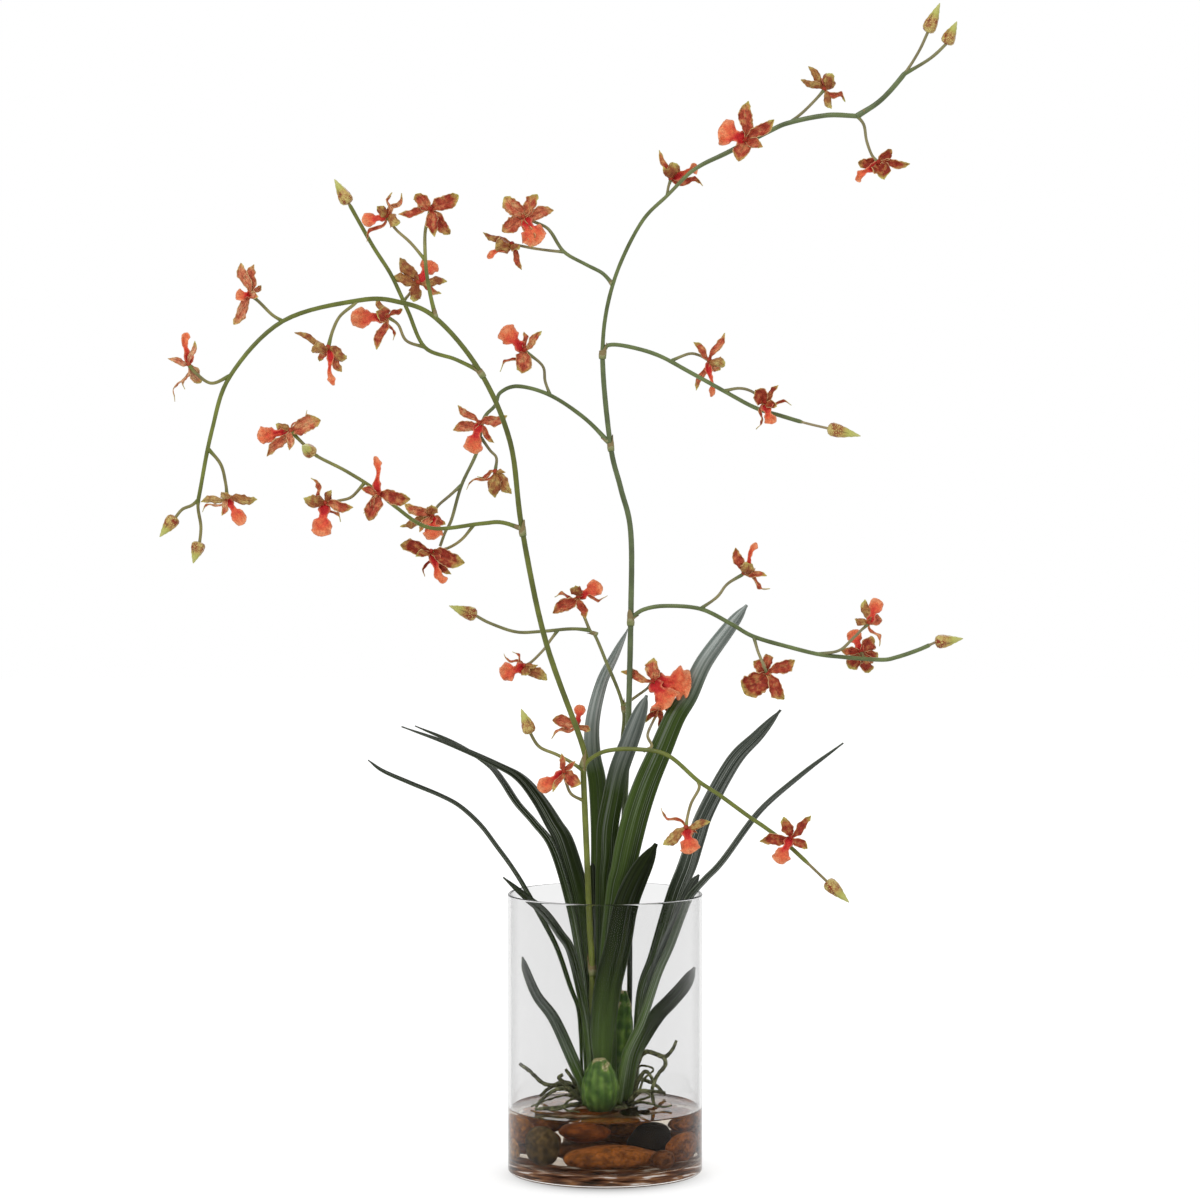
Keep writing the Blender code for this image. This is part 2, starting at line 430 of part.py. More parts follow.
def clear_resin(place, cutters, finish):
    """The cast resin: clear of the glass, and cut away round the stones and the rhizome."""
    outer = vase_radius - glass_wall - gap
    bottom = glass_base + gap
    profile = [(0, resin_top), (outer, resin_top)]
    profile += arc(outer - floor_round, bottom + floor_round, floor_round, 0, -90, 3)
    profile.append((0, bottom))
    resin = turned("clear_resin", profile, place, finish)
    for name, (centre, half, turn) in stones.items():
        stone("room_for_" + name, centre, half, turn, cutters, None, grow=gap)
    rhizome("room_for_rhizome", gap, cutters)
    boolean(resin, "DIFFERENCE", cutters)
    return resin


# The plant's foot

def pseudobulb(name, foot, top, radii, flatness, place, finish):
    """A swollen bulb along a straight axis, rounder across than it is deep."""
    foot, top = Vector(foot), Vector(top)
    route = [foot.lerp(top, i / (len(radii) - 1)) for i in range(len(radii))]
    bulb = tube(name, route, radii, 12, place, finish)
    middle = foot.y * mm
    for vertex in bulb.data.vertices:
        vertex.co.y = middle + (vertex.co.y - middle) * flatness
    return bulb


def roots_and_rhizome(place, finish):
    body = rhizome("rhizome_and_roots", 0, place, finish)
    pieces = collection("root_pieces")
    for i, points in enumerate(roots):
        route = smooth_route(points)
        tube(f"root_{i}", route, tapered(1.7, 1.1, len(route)), 6, pieces)
    boolean(body, "UNION", pieces)
    return body


def leaf(name, width, foot_side, tip_side, points, place, finish):
    """A folded blade: three points across at each station, thickened by Solidify."""
    route = smooth_route(points, 1)
    shape = bmesh.new()
    rows = []
    last = len(route) - 1
    for i, at in enumerate(route):
        t = i / last
        along = (route[min(i + 1, last)] - route[max(i - 1, 0)]).normalized()
        side = Vector(foot_side).lerp(Vector(tip_side), t)
        side = (side - along * side.dot(along)).normalized()
        fold = side.cross(along).normalized()
        spread = width / 2 * leaf_outline(t)
        keel = 0.22 * spread
        rows.append([shape.verts.new(at - side * spread), shape.verts.new(at + fold * keel),
                     shape.verts.new(at + side * spread)])
    for before, after in zip(rows, rows[1:]):
        for k in range(2):
            shape.faces.new((before[k], before[k + 1], after[k + 1], after[k]))
    obj = object_from(name, shape, place, finish)
    thick = obj.modifiers.new("thickness", "SOLIDIFY")
    thick.thickness = leaf_thickness * mm
    thick.offset = 0
    return obj


def leaf_outline(t):
    """Share of the full width along the blade: narrow at the foot, widest past the middle, pointed."""
    rise = 0.42 + 0.58 * math.sin(min(t / 0.55, 1) * math.pi / 2)
    fall = 1 if t < 0.6 else max(1 - ((t - 0.6) / 0.4) ** 2.2, 0.07)
    return rise * fall


# Flowers and stems

def flower(name, centre, blades, place, finish):
    """A column with flat pointed blades round it, joined into one solid."""
    centre = Vector(centre)
    pieces = collection(name + "_pieces")
    shape = bmesh.new()
    bmesh.ops.create_icosphere(shape, subdivisions=1, radius=hub_radius)
    bmesh.ops.translate(shape, vec=centre, verts=shape.verts)
    hub = object_from(name, shape, place, finish)
    for i, (x, y, z, width) in enumerate(blades):
        reach = Vector((x, y, z))
        across = reach.cross(Vector((0, -1, 0))).normalized()
        face = across.cross(reach).normalized()
        blade = bmesh.new()
        bmesh.ops.create_uvsphere(blade, u_segments=4, v_segments=2, radius=1)
        axes = Matrix((across * (width / 2), face * (petal_thickness / 2), reach / 2)).transposed().to_4x4()
        placing = Matrix.Translation(centre + reach / 2) @ axes
        bmesh.ops.transform(blade, matrix=placing, verts=blade.verts)
        object_from(f"{name}_blade_{i}", blade, pieces)
    boolean(hub, "UNION", pieces)
    return hub


def collar(name, at, along, radius, place):
    along = Vector(along).normalized()
    route = [Vector(at) + along * step for step in (-5, -3, 3, 5)]
    tube(name, route, [radius, radius + 0.7, radius + 0.7, radius], 6, place)


def bud(name, foot, tip, place):
    foot, tip = Vector(foot), Vector(tip)
    route = [foot.lerp(tip, t) for t in (-0.03, 0.08, 0.3, 0.55, 0.8, 1)]
    tube(name, route, [1.6, 3.9, 4.9, 3.8, 2.1, 0.6], 6, place)


def flower_stem(name, routes, joints, place, finish):
    """A main stem with its branches, pedicels, joint collars and buds joined into one solid."""
    pieces = collection(name + "_pieces")
    main = None
    for i, (start, end, points, finishing) in enumerate(routes):
        points = [Vector(p) for p in points]
        if isinstance(finishing, str):
            centre = Vector(flowers[finishing][0])
            points.append(centre + (points[-1] - centre).normalized() * (hub_radius + gap))
        route = smooth_route(points, 2 if main is None else 1)
        radii = tapered(start, end, len(route))
        if main is None:
            main = tube(name, route, radii, 8, place, finish)
            route_of_main = route
        else:
            tube(f"{name}_route_{i}", route, radii, 6, pieces)
        if isinstance(finishing, tuple):
            bud(f"{name}_bud_{i}", points[-1], finishing, pieces)
    for i, (height_index, radius) in enumerate(joints):
        at = route_of_main[height_index]
        along = route_of_main[height_index + 1] - route_of_main[height_index - 1]
        collar(f"{name}_collar_{i}", at, along, radius, pieces)
    boolean(main, "UNION", pieces)
    return main


def main():
    clear_scene()
    parts = collection("orchid_in_glass_vase")
    cutters = collection("cutters")
    glass = material("clear glass", (0.90, 0.93, 0.92), 0.05, 0.3)
    resin = material("clear resin", (0.86, 0.86, 0.84), 0.05, 0.35)
    leaf_green = material("leaf green", (0.035, 0.075, 0.03), 0.4)
    stem_green = material("stem green", (0.16, 0.24, 0.07), 0.5)
    bulb_green = material("bulb green", (0.10, 0.20, 0.05), 0.45)
    root_brown = material("root olive", (0.13, 0.13, 0.07), 0.7)
    petal_rust = material("petal rust", (0.45, 0.10, 0.05), 0.6)
    pebbles = {
        "stone_rust": material("rust stone", (0.36, 0.12, 0.04), 0.5),
        "stone_olive": material("olive stone", (0.16, 0.12, 0.06), 0.5),
        "stone_dark": material("dark stone", (0.05, 0.04, 0.03), 0.5),
        "stone_orange": material("orange stone", (0.45, 0.18, 0.05), 0.5),
    }
    glass_vase(parts, glass)
    for name, (centre, half, turn) in stones.items():
        stone(name, centre, half, turn, parts, pebbles[name])
    clear_resin(parts, cutters, resin)
    pseudobulb("front_pseudobulb", (-4, -17, resin_top + gap), (-4, -16, 91), [9, 13, 14.2, 13, 11, 9, 7.5],
               0.76, parts, bulb_green)
    pseudobulb("rear_pseudobulb", (10, 22, rhizome_top + gap + 0.9), (14, 16, 139),
               [6, 8.3, 9, 8.4, 7, 5, 3.2], 0.9, parts, bulb_green)
    roots_and_rhizome(parts, root_brown)
    for name, (width, foot_side, tip_side, points) in leaves.items():
        leaf(name, width, foot_side, tip_side, points, parts, leaf_green)
    for name, (centre, blades) in flowers.items():
        flower(name, centre, blades, parts, petal_rust)
    flower_stem("flower_stem_left", stem_left, [(6, 2.6), (13, 2.6), (18, 2.4), (22, 2.1)],
                parts, stem_green)
    flower_stem("flower_stem_right", stem_right, [(10, 2.3), (16, 2.1), (18, 2.0), (20, 1.9)],
                parts, stem_green)
    flower_stem("flower_stem_middle", stem_middle, [(8, 1.5), (13, 1.3)], parts, stem_green)
    for planned in planned_booleans:
        add_boolean(*planned)


main()
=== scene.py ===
import math
import random

import bmesh
import bpy
from mathutils import Matrix, Vector, noise


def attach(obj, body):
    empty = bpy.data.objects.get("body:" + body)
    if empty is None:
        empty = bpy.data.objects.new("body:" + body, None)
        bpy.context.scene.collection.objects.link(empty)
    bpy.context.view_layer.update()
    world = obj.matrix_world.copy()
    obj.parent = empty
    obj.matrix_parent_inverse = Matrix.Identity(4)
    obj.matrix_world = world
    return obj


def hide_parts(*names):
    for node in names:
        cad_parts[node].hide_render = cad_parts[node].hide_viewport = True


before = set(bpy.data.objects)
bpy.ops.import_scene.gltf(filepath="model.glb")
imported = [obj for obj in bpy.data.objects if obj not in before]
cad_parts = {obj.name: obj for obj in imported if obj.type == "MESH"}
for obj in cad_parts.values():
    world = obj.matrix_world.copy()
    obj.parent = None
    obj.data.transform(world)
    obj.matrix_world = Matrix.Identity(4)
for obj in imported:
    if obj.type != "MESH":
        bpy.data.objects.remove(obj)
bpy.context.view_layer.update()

scene = bpy.context.scene
mm = 0.001  # tables are in millimetres, meshes in metres; +Z is up and the viewer's side is -Y


def linear(hexCode):
    values = [int(hexCode[i:i + 2], 16) / 255 for i in (1, 3, 5)]
    return tuple(v / 12.92 if v <= 0.04045 else ((v + 0.055) / 1.055) ** 2.4 for v in values) + (1.0,)


def setInputs(tree, node, inputs):
    # a socket is linked to the input, and anything else becomes the input's own value
    for name, value in inputs.items():
        if isinstance(value, bpy.types.NodeSocket):
            tree.links.new(value, node.inputs[name])
        else:
            node.inputs[name].default_value = value


def addNode(tree, kind, inputs=None, stops=None, **settings):
    node = tree.nodes.new(kind)
    for name, value in settings.items():
        setattr(node, name, value)
    setInputs(tree, node, inputs or {})
    if stops:
        ramp = node.color_ramp
        while len(ramp.elements) < len(stops):
            ramp.elements.new(0.5)
        for element, (position, colour) in zip(ramp.elements, stops):
            element.position = position
            element.color = linear(colour) if isinstance(colour, str) else (colour, colour, colour, 1)
    return node


def newMaterial(name):
    material = bpy.data.materials.new(name)
    material.use_nodes = True
    tree = material.node_tree
    return material, tree, tree.nodes["Principled BSDF"]


def eased(stops, t):
    # a smooth value between (position, value) stops
    if t <= stops[0][0]:
        return stops[0][1]
    for (a, low), (b, high) in zip(stops, stops[1:]):
        if t <= b:
            s = (t - a) / (b - a)
            return low + (high - low) * s * s * (3 - 2 * s)
    return stops[-1][1]


def smoothRoute(points, parts):
    # a Catmull-Rom route, each span cut into the given number of parts
    points = [Vector(p) for p in points]
    if len(points) < 3:
        return [points[0].lerp(points[-1], k / parts) for k in range(parts + 1)]
    padded = [2 * points[0] - points[1]] + points + [2 * points[-1] - points[-2]]
    route = []
    for i in range(1, len(padded) - 2):
        a, b, c, d = padded[i - 1:i + 3]
        for k in range(parts):
            t = k / parts
            route.append(0.5 * ((2 * b) + (c - a) * t + (2 * a - 5 * b + 4 * c - d) * t ** 2
                                + (3 * b - a - 3 * c + d) * t ** 3))
    route.append(points[-1])
    return route


class Shape:
    # points in millimetres, faces, and one value for each point under each attribute's name
    def __init__(self, *attributes):
        self.points, self.faces = [], []
        self.values = {name: [] for name in attributes}

    def addPoint(self, point, **values):
        self.points.append(Vector(point))
        for name, stored in self.values.items():
            stored.append(values.get(name, 0.0))
        return len(self.points) - 1

    def addGrid(self, rows, ring=False):
        # faces between rows of point numbers
        for before, after in zip(rows, rows[1:]):
            count = len(before)
            for k in range(count if ring else count - 1):
                n = (k + 1) % count
                self.faces.append((before[k], before[n], after[n], after[k]))

    def addSheet(self, rows, thickness, values, backValues=None):
        # a closed sheet of two layers: rows hold points, values(row, column) gives a point's attributes
        last, wide = len(rows) - 1, len(rows[0]) - 1
        layers = []
        for side in (1, -1):
            layer = []
            for i, row in enumerate(rows):
                line = []
                for j, at in enumerate(row):
                    along = rows[min(i + 1, last)][j] - rows[max(i - 1, 0)][j]
                    across = row[min(j + 1, wide)] - row[max(j - 1, 0)]
                    normal = across.cross(along)
                    normal = normal.normalized() if normal.length > 1e-9 else Vector((0, -1, 0))
                    stored = (values if side > 0 or backValues is None else backValues)(i, j)
                    line.append(self.addPoint(at + normal * (side * thickness / 2), **stored))
                layer.append(line)
            layers.append(layer)
        front, back = layers
        self.addGrid(front)
        self.addGrid([line[::-1] for line in back])
        for i in range(last):
            self.faces.append((front[i][0], front[i + 1][0], back[i + 1][0], back[i][0]))
            self.faces.append((front[i + 1][wide], front[i][wide], back[i][wide], back[i + 1][wide]))
        for j in range(wide):
            self.faces.append((front[0][j + 1], front[0][j], back[0][j], back[0][j + 1]))
            self.faces.append((front[last][j], front[last][j + 1], back[last][j + 1], back[last][j]))

    def addRings(self, rings, values):
        # a closed body through rings of points, its two ends closed by a middle point
        rows = []
        for i, ring in enumerate(rings):
            rows.append([self.addPoint(at, **values(i, k)) for k, at in enumerate(ring)])
        self.addGrid(rows, ring=True)
        for i in (0, len(rings) - 1):
            row, middle = rows[i], sum(rings[i], Vector()) / len(rings[i])
            pole = self.addPoint(middle, **values(i, 0))
            for k in range(len(row)):
                pair = (row[k], row[(k + 1) % len(row)])
                self.faces.append((*pair, pole) if i else (*pair[::-1], pole))

    def toObject(self, name, material, sharp=None):
        mesh = bpy.data.meshes.new(name)
        mesh.from_pydata([tuple(p * mm) for p in self.points], [], self.faces)
        for attribute, stored in self.values.items():
            layer = mesh.attributes.new(attribute, "FLOAT", "POINT")
            layer.data.foreach_set("value", stored)
        mesh.materials.append(material)
        tidy = bmesh.new()
        tidy.from_mesh(mesh)
        bmesh.ops.recalc_face_normals(tidy, faces=tidy.faces)
        tidy.to_mesh(mesh)
        tidy.free()
        mesh.shade_smooth()
        if sharp:
            mesh.set_sharp_from_angle(angle=math.radians(sharp))
        obj = bpy.data.objects.new(name, mesh)
        scene.collection.objects.link(obj)
        return obj


def finishPiece(obj, slotName, *replaced):
    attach(obj, "root")
    if replaced:
        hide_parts(*replaced)


def ringAround(centre, side, other, radius, count):
    angles = [2 * math.pi * k / count for k in range(count)]
    return [centre + side * (math.cos(a) * radius) + other * (math.sin(a) * radius) for a in angles]


# The vase: a straight cylinder of clear soda-lime glass

vase = {"radius": 76.0, "height": 218.0, "wall": 2.4, "base": 9.0, "footRound": 2.6, "floorRound": 7.0,
        "steps": 128, "near": 0.3, "sharp": 40}


def arc(centreR, centreZ, radius, start, end, count):
    angles = [math.radians(start + (end - start) * i / count) for i in range(count + 1)]
    return [(centreR + radius * math.cos(a), centreZ + radius * math.sin(a)) for a in angles]


def turnProfile(name, profile, steps, material):
    # turns (radius, height) points that start and end on the axis
    shape = Shape()
    rows = []
    for radius, height in profile[1:-1]:
        centre = Vector((0, 0, height))
        ring = ringAround(centre, Vector((1, 0, 0)), Vector((0, 1, 0)), radius, steps)
        rows.append([shape.addPoint(at) for at in ring])
    shape.addGrid(rows, ring=True)
    for row, (_, height) in ((rows[0], profile[0]), (rows[-1], profile[-1])):
        pole = shape.addPoint((0, 0, height))
        for k in range(steps):
            shape.faces.append((row[k], row[(k + 1) % steps], pole))
    return shape.toObject(name, material, sharp=vase["sharp"])


def letLampsThrough(tree, shader, tint):
    # shadow rays pass straight through, so the lamps light what stands behind
    path = addNode(tree, "ShaderNodeLightPath")
    clear = addNode(tree, "ShaderNodeBsdfTransparent", {"Color": linear(tint)})
    mixed = addNode(tree, "ShaderNodeMixShader", {
        0: path.outputs["Is Shadow Ray"], 1: shader.outputs[0], 2: clear.outputs[0]})
    setInputs(tree, tree.nodes["Material Output"], {"Surface": mixed.outputs[0]})


def sodaLimeGlass():
    # pressed and fire-polished: water-clear, a trace of grey in a thick edge
    material, tree, shader = newMaterial("sodaLimeGlass")
    turned = addNode(tree, "ShaderNodeLayerWeight", {"Blend": 0.5}).outputs["Facing"]
    body = addNode(tree, "ShaderNodeValToRGB", {"Fac": turned},
                   stops=[(0.55, "#eeeeee"), (0.8, "#cbcbcb"), (0.95, "#868686")])
    setInputs(tree, shader, {
        "Base Color": body.outputs[0], "Roughness": 0.0, "IOR": 1.5, "Transmission Weight": 1.0,
        "Specular Tint": linear("#4a4a4a")})
    letLampsThrough(tree, shader, "#f2f3f2")
    return material


def makeVase():
    # a point close to each end of a flat run keeps the rounding out of the long wall's normals
    radius, inner, rim = vase["radius"], vase["radius"] - vase["wall"], vase["wall"] / 2
    base, height, near = vase["base"], vase["height"], vase["near"]
    hollow, foot = vase["floorRound"], vase["footRound"]
    profile = [(0, base), (inner - hollow - near, base)]
    profile += arc(inner - hollow, base + hollow, hollow, -90, 0, 8)
    profile += [(inner, base + hollow + near), (inner, height - rim - near)]
    profile += arc(radius - rim, height - rim, rim, 180, 0, 10)
    profile += [(radius, height - rim - near), (radius, foot + near)]
    profile += arc(radius - foot, foot, foot, 0, -90, 8)
    profile += [(radius - foot - near, 0), (0, 0)]
    obj = turnProfile("cylinderVase", profile, vase["steps"], sodaLimeGlass())
    finishPiece(obj, "clear_glass", "glass_vase")
    print("vase turned")


# The fill: clear casting resin poured round the pebbles

fill = {"top": 49.5, "creep": 1.4, "creepWidth": 6.0, "intoWall": 0.4}


def castingResin():
    # clear epoxy poured as a liquid: a mirror-flat top, faintly amber in depth
    material, tree, shader = newMaterial("castingResin")
    setInputs(tree, shader, {
        "Base Color": linear("#efe3d2"), "Roughness": 0.0, "IOR": 1.48, "Transmission Weight": 1.0,
        "Specular Tint": linear("#707070")})
    letLampsThrough(tree, shader, "#f4ece0")
    return material


def makeFill():
    # the wall and floor reach a little into the glass, so no film of air shows between them
    outer, near = vase["radius"] - vase["wall"] + fill["intoWall"], vase["near"]
    bottom, hollow = vase["base"] - fill["intoWall"], vase["floorRound"]
    top, creep, width = fill["top"], fill["creep"], fill["creepWidth"]
    profile = [(0, top), (outer - width - near, top), (outer - width, top)]
    profile += [(outer - width + width * s, top + creep * s ** 3) for s in (0.3, 0.55, 0.75, 0.9, 1)]
    profile += [(outer, top + creep - near), (outer, bottom + hollow + near)]
    profile += arc(outer - hollow, bottom + hollow, hollow, 0, -90, 8)
    profile += [(outer - hollow - near, bottom), (0, bottom)]
    resin = turnProfile("resinFill", profile, vase["steps"], castingResin())
    finishPiece(resin, "clear_resin", "clear_resin")
    print("resin poured")


# Pebbles: centre, half sizes, turn about Z and tilt in degrees, and colour

pebble = {"lump": 0.14, "fineLump": 0.05, "shrink": 0.03, "cadNames": ("rust", "olive", "dark", "orange")}
pebbles = {
    "rust": ((4, -38, 19), (33, 19, 9.7), 4, 0, "#935826"),
    "olive": ((-43, -33, 26), (12.5, 15, 16.5), 35, -12, "#5c4b2b"),
    "dark": ((23, 2, 26), (12, 13, 17), 20, 8, "#1b140d"),
    "orange": ((48, -13, 22), (12, 14, 12.5), -15, 0, "#945722"),
    "upperRust": ((-12, -8, 35), (15, 13, 8.5), 8, 4, "#86481b"),
    "upperOrange": ((-52, 2, 34), (13, 14, 12), 20, 10, "#a56a24"),
    "leftBack": ((-33, 36, 22), (17, 14, 12), -30, 0, "#955c22"),
    "leftUpper": ((-30, 20, 38), (14, 11, 8), 15, -8, "#8a501e"),
    "middleBack": ((2, 48, 21), (18, 14, 11), 5, 0, "#6f421f"),
    "middleUpper": ((8, 30, 35), (15, 12, 8), -20, 6, "#8c5825"),
    "rightBack": ((38, 34, 23), (17, 15, 13), 30, 0, "#965e22"),
    "rightUpper": ((44, 14, 38), (13, 13, 8.5), 40, -6, "#935822"),
    "rightEdge": ((60, 8, 22), (8.5, 14, 12), 0, 0, "#7d471f"),
    "leftEdge": ((-62, -10, 19), (7.5, 12, 9), -10, 0, "#b37e30"),
    "floorMiddle": ((-8, 8, 18.5), (19, 15, 9), 12, 0, "#643e22"),
    "frontRight": ((40, -45, 17.5), (11, 9, 7.8), -25, 0, "#704526"),
}


def riverStone(name, colour):
    # tumbled jasper and sandstone: a smooth skin, mottled and speckled with iron
    material, tree, shader = newMaterial(name)
    place = addNode(tree, "ShaderNodeTexCoord").outputs["Object"]
    cloud = addNode(tree, "ShaderNodeTexNoise", {
        "Vector": place, "Scale": 130.0, "Detail": 5.0, "Roughness": 0.6})
    speck = addNode(tree, "ShaderNodeTexNoise", {"Vector": place, "Scale": 420.0, "Detail": 3.0})
    depth = addNode(tree, "ShaderNodeMapRange", {
        "Value": cloud.outputs["Fac"], 1: 0.34, 2: 0.66, 3: 0.35, 4: 1.6})
    shade = addNode(tree, "ShaderNodeMapRange", {
        "Value": speck.outputs["Fac"], 1: 0.35, 2: 0.65, 3: 0.6, 4: 1.35})
    both = addNode(tree, "ShaderNodeMath", {0: depth.outputs[0], 1: shade.outputs[0]}, operation="MULTIPLY")
    tinted = addNode(tree, "ShaderNodeVectorMath", {0: linear(colour)[:3], "Scale": both.outputs[0]},
                     operation="SCALE")
    bump = addNode(tree, "ShaderNodeBump", {
        "Height": speck.outputs["Fac"], "Strength": 0.25, "Distance": 0.0004})
    setInputs(tree, shader, {
        "Base Color": tinted.outputs[0], "Roughness": 0.45, "Specular IOR Level": 0.06,
        "Normal": bump.outputs[0]})
    return material


def makePebbles():
    for number, (name, (centre, half, turn, tilt, colour)) in enumerate(pebbles.items()):
        ball = bmesh.new()
        bmesh.ops.create_icosphere(ball, subdivisions=4, radius=1)
        placing = Matrix.Rotation(math.radians(turn), 3, "Z") @ Matrix.Rotation(math.radians(tilt), 3, "Y")
        for vertex in ball.verts:
            seed = Vector((number * 7.3, 2.1, 0))
            lump = noise.noise(vertex.co * 0.9 + seed) * pebble["lump"]
            lump += noise.noise(vertex.co * 2.3 + seed) * pebble["fineLump"]
            spread = Vector(vertex.co[k] * half[k] for k in range(3))
            vertex.co = (Vector(centre) + placing @ (spread * (1 + lump - pebble["shrink"]))) * mm
        mesh = bpy.data.meshes.new("pebble" + name.capitalize())
        ball.to_mesh(mesh)
        ball.free()
        mesh.materials.append(riverStone("riverStone" + name.capitalize(), colour))
        mesh.shade_smooth()
        obj = bpy.data.objects.new(mesh.name, mesh)
        scene.collection.objects.link(obj)
        if name in pebble["cadNames"]:
            finishPiece(obj, name + "_stone", "stone_" + name)
        else:
            finishPiece(obj, "orange_stone")
    print("pebbles set")


# Leaves: width, share of it at the foot, the way the width points at the foot and at the tip, how much it
# narrows and how blunt it ends, then four shares (painted grey sheen past the turn, fresh green under it,
# where along the leaf it turns, and how many painted highlight lines it carries), and the midrib's route

leaf = {"thickness": 0.8, "parts": 8, "across": 14, "fold": 0.4, "footFold": 0.5, "ribs": 2,
        "ribDepth": 0.025, "ripple": 0.3, "widestBy": 0.5, "narrowsFrom": 0.3, "leastWidth": 0.16}
leaves = {
    "leaf_01": (9.5, 0.3, (0.2, 1, 0), (0.12, 0.95, 0.25), (0.3, 16), (0, 0.1, 0.3, 0.8), [
        (-17, 13, 53.4), (-19, 9, 80), (-20, 6, 105), (-22, 4, 127), (-28, 2, 144), (-40, -2, 179),
        (-61, -8, 219), (-72, -11, 238), (-84.5, -15, 256), (-97, -18, 273), (-112, -23, 287.5),
        (-127, -28, 296.5), (-150, -35, 307), (-171, -41, 317), (-182, -45, 325.5)]),
    "leaf_02": (19, 0.36, (1, 0.1, 0), (0.05, 0.97, 0.12), (0.4, 10), (0, 0.1, 0.3, 0.45), [
        (-12, 27, 53.4), (-14, 20, 110), (-15, 18, 160), (-17, 19, 190), (-21, 20, 216), (-32, 22, 254),
        (-41, 26, 270), (-53, 29, 289), (-67, 31, 305), (-85, 32, 315), (-120, 38, 330), (-161, 50, 344)]),
    "leaf_03": (12, 0.3, (0.7, 0.7, 0), (0.08, 0.95, 0.18), (0.4, 16), (0, 0.1, 0.3, 1), [
        (-13, 20, 53.4), (-15, 14, 100), (-16, 9, 139), (-20, 8, 168), (-28, 8, 210), (-41, 10, 252),
        (-55, 12, 271), (-69, 21, 286), (-81, 39, 302), (-92, 54, 313), (-119, 68, 329), (-152, 84, 342)]),
    "leaf_04": (12, 0.8, (0.7, 0.6, 0.3), (0.45, 0.75, 0.4), (0.35, 10), (0.12, 0.1, 0.3, 0.5), [
        (-14, -3, 53.4), (-18, -6, 70), (-27, -9, 92), (-40, -11, 121), (-53, -12, 139), (-61, -14, 158),
        (-64, -15, 170)]),
    "leaf_05": (8, 0.4, (1, 0.2, 0), (0.7, 0.4, 0.6), (0.3, 12), (0, 0.15, 0.5, 0.6), [
        (-8, 2, 53.4), (-11, -1, 75), (-12, -2, 95), (-16, -5, 127), (-26, -11, 172), (-35, -15, 188),
        (-47, -19, 205), (-61, -22, 217), (-79, -25, 233)]),
    "leaf_06": (16.5, 0.38, (1, 0.2, 0), (0.8, 0.5, -0.3), (0.6, 10), (0.9, 0.5, 0.75, 0.4), [
        (-9, 34, 53.4), (-9, 33, 150), (-5, 34, 250), (-6, 38, 298), (-10, 41, 322), (-10, 43, 349),
        (-3, 44, 379), (8, 45, 402), (18, 45, 422)]),
    "leaf_07": (18, 0.42, (1, -0.1, 0), (0.9, -0.1, -0.3), (0.3, 12), (0.42, 0.3, 0.82, 0.3), [
        (-2, 13, 53.4), (-2, 12, 150), (-1, 9, 223), (1, 6, 246), (2, 3, 269), (6, 0, 292), (11, -3, 315),
        (19, -5, 337), (26, -6, 356), (32.5, -6, 373)]),
    "leaf_08": (22.5, 0.6, (1, 0, 0), (0.9, 0, -0.45), (0.55, 22), (0.95, 0.5, 0.83, 0.3), [
        (2, 4.5, 53.4), (2, 3, 150), (9, -2, 217), (14, -5, 238), (19, -7, 261), (25, -8, 284), (33, -8, 307),
        (43, -7, 330), (54, -1, 355), (65, 6, 372), (77, 12, 397), (96, 16, 423), (111, 18, 442)]),
    "leaf_09": (22.5, 0.45, (1, 0, 0), (0.9, 0.1, -0.35), (0.25, 12), (0, 0.2, 0.5, 0.1), [
        (-2, -3, 53.4), (-2, -4, 85), (-2, -5, 110), (2, -7, 145), (10, -11, 179), (16, -15, 210),
        (25, -20, 233), (39.5, -27, 259.5)]),
    "leaf_10": (20, 0.3, (0.8, 0.5, 0), (0.7, 0.5, -0.5), (0.4, 10), (0.13, 0.15, 0.5, 1), [
        (23, 28, 53.4), (28, 25, 133), (40, 21, 168), (55, 16, 215), (64, 12, 238), (71, 10, 260),
        (79, 8, 282), (100, 4, 321), (119, -4, 342), (136, -12, 362)]),
    "leaf_11": (11.5, 0.85, (0.6, 0.8, -0.2), (0.4, 0.8, -0.4), (0.4, 16), (0.1, 0.15, 0.3, 1), [
        (9, -1, 53.4), (16, -6, 92), (28.5, -9, 120), (40.5, -11, 156), (50.5, -12, 179), (60, -12, 204),
        (66, -12, 217), (78, -14, 231), (91, -16, 245), (120, -23, 285), (152, -31, 314), (183, -40, 338.5)]),
    "leaf_12": (14, 0.5, (0.7, 0.3, -0.5), (0.6, 0.2, -0.7), (0.2, 10), (0.02, 0.15, 0.5, 0.4), [
        (17, 7, 53.4), (22, 5, 86), (29, 5, 103), (40, 4, 121), (51, 2, 133), (62, 0, 146), (70, -1, 160)]),
    # three short ones that only fill the clump
    "leafShortRight": (11, 0.35, (0.8, 0.5, 0), (0.7, 0.4, -0.5), (0.3, 10), (0.1, 0.1, 0.4, 0.6), [
        (19, 14, 53.4), (27, 8, 110), (40, 2, 160), (55, -2, 196), (66, -4, 222), (73, -5, 233)]),
    "leafShortLeft": (11, 0.4, (1, 0.2, 0), (1, 0.1, 0), (0.3, 10), (0, 0.5, 0.5, 0.3), [
        (-6, 16, 53.4), (-7, 15, 130), (-7, 14, 190), (-9, 13, 222), (-10, 13, 240)]),
    "leafEdgeOn": (7, 0.5, (0.6, 0.8, 0), (0.5, 0.8, 0), (0.2, 10), (0, 0.1, 0.4, 0.3), [
        (18, 26, 53.4), (19, 27, 120), (19.5, 28, 170), (19.5, 28, 206)]),
}


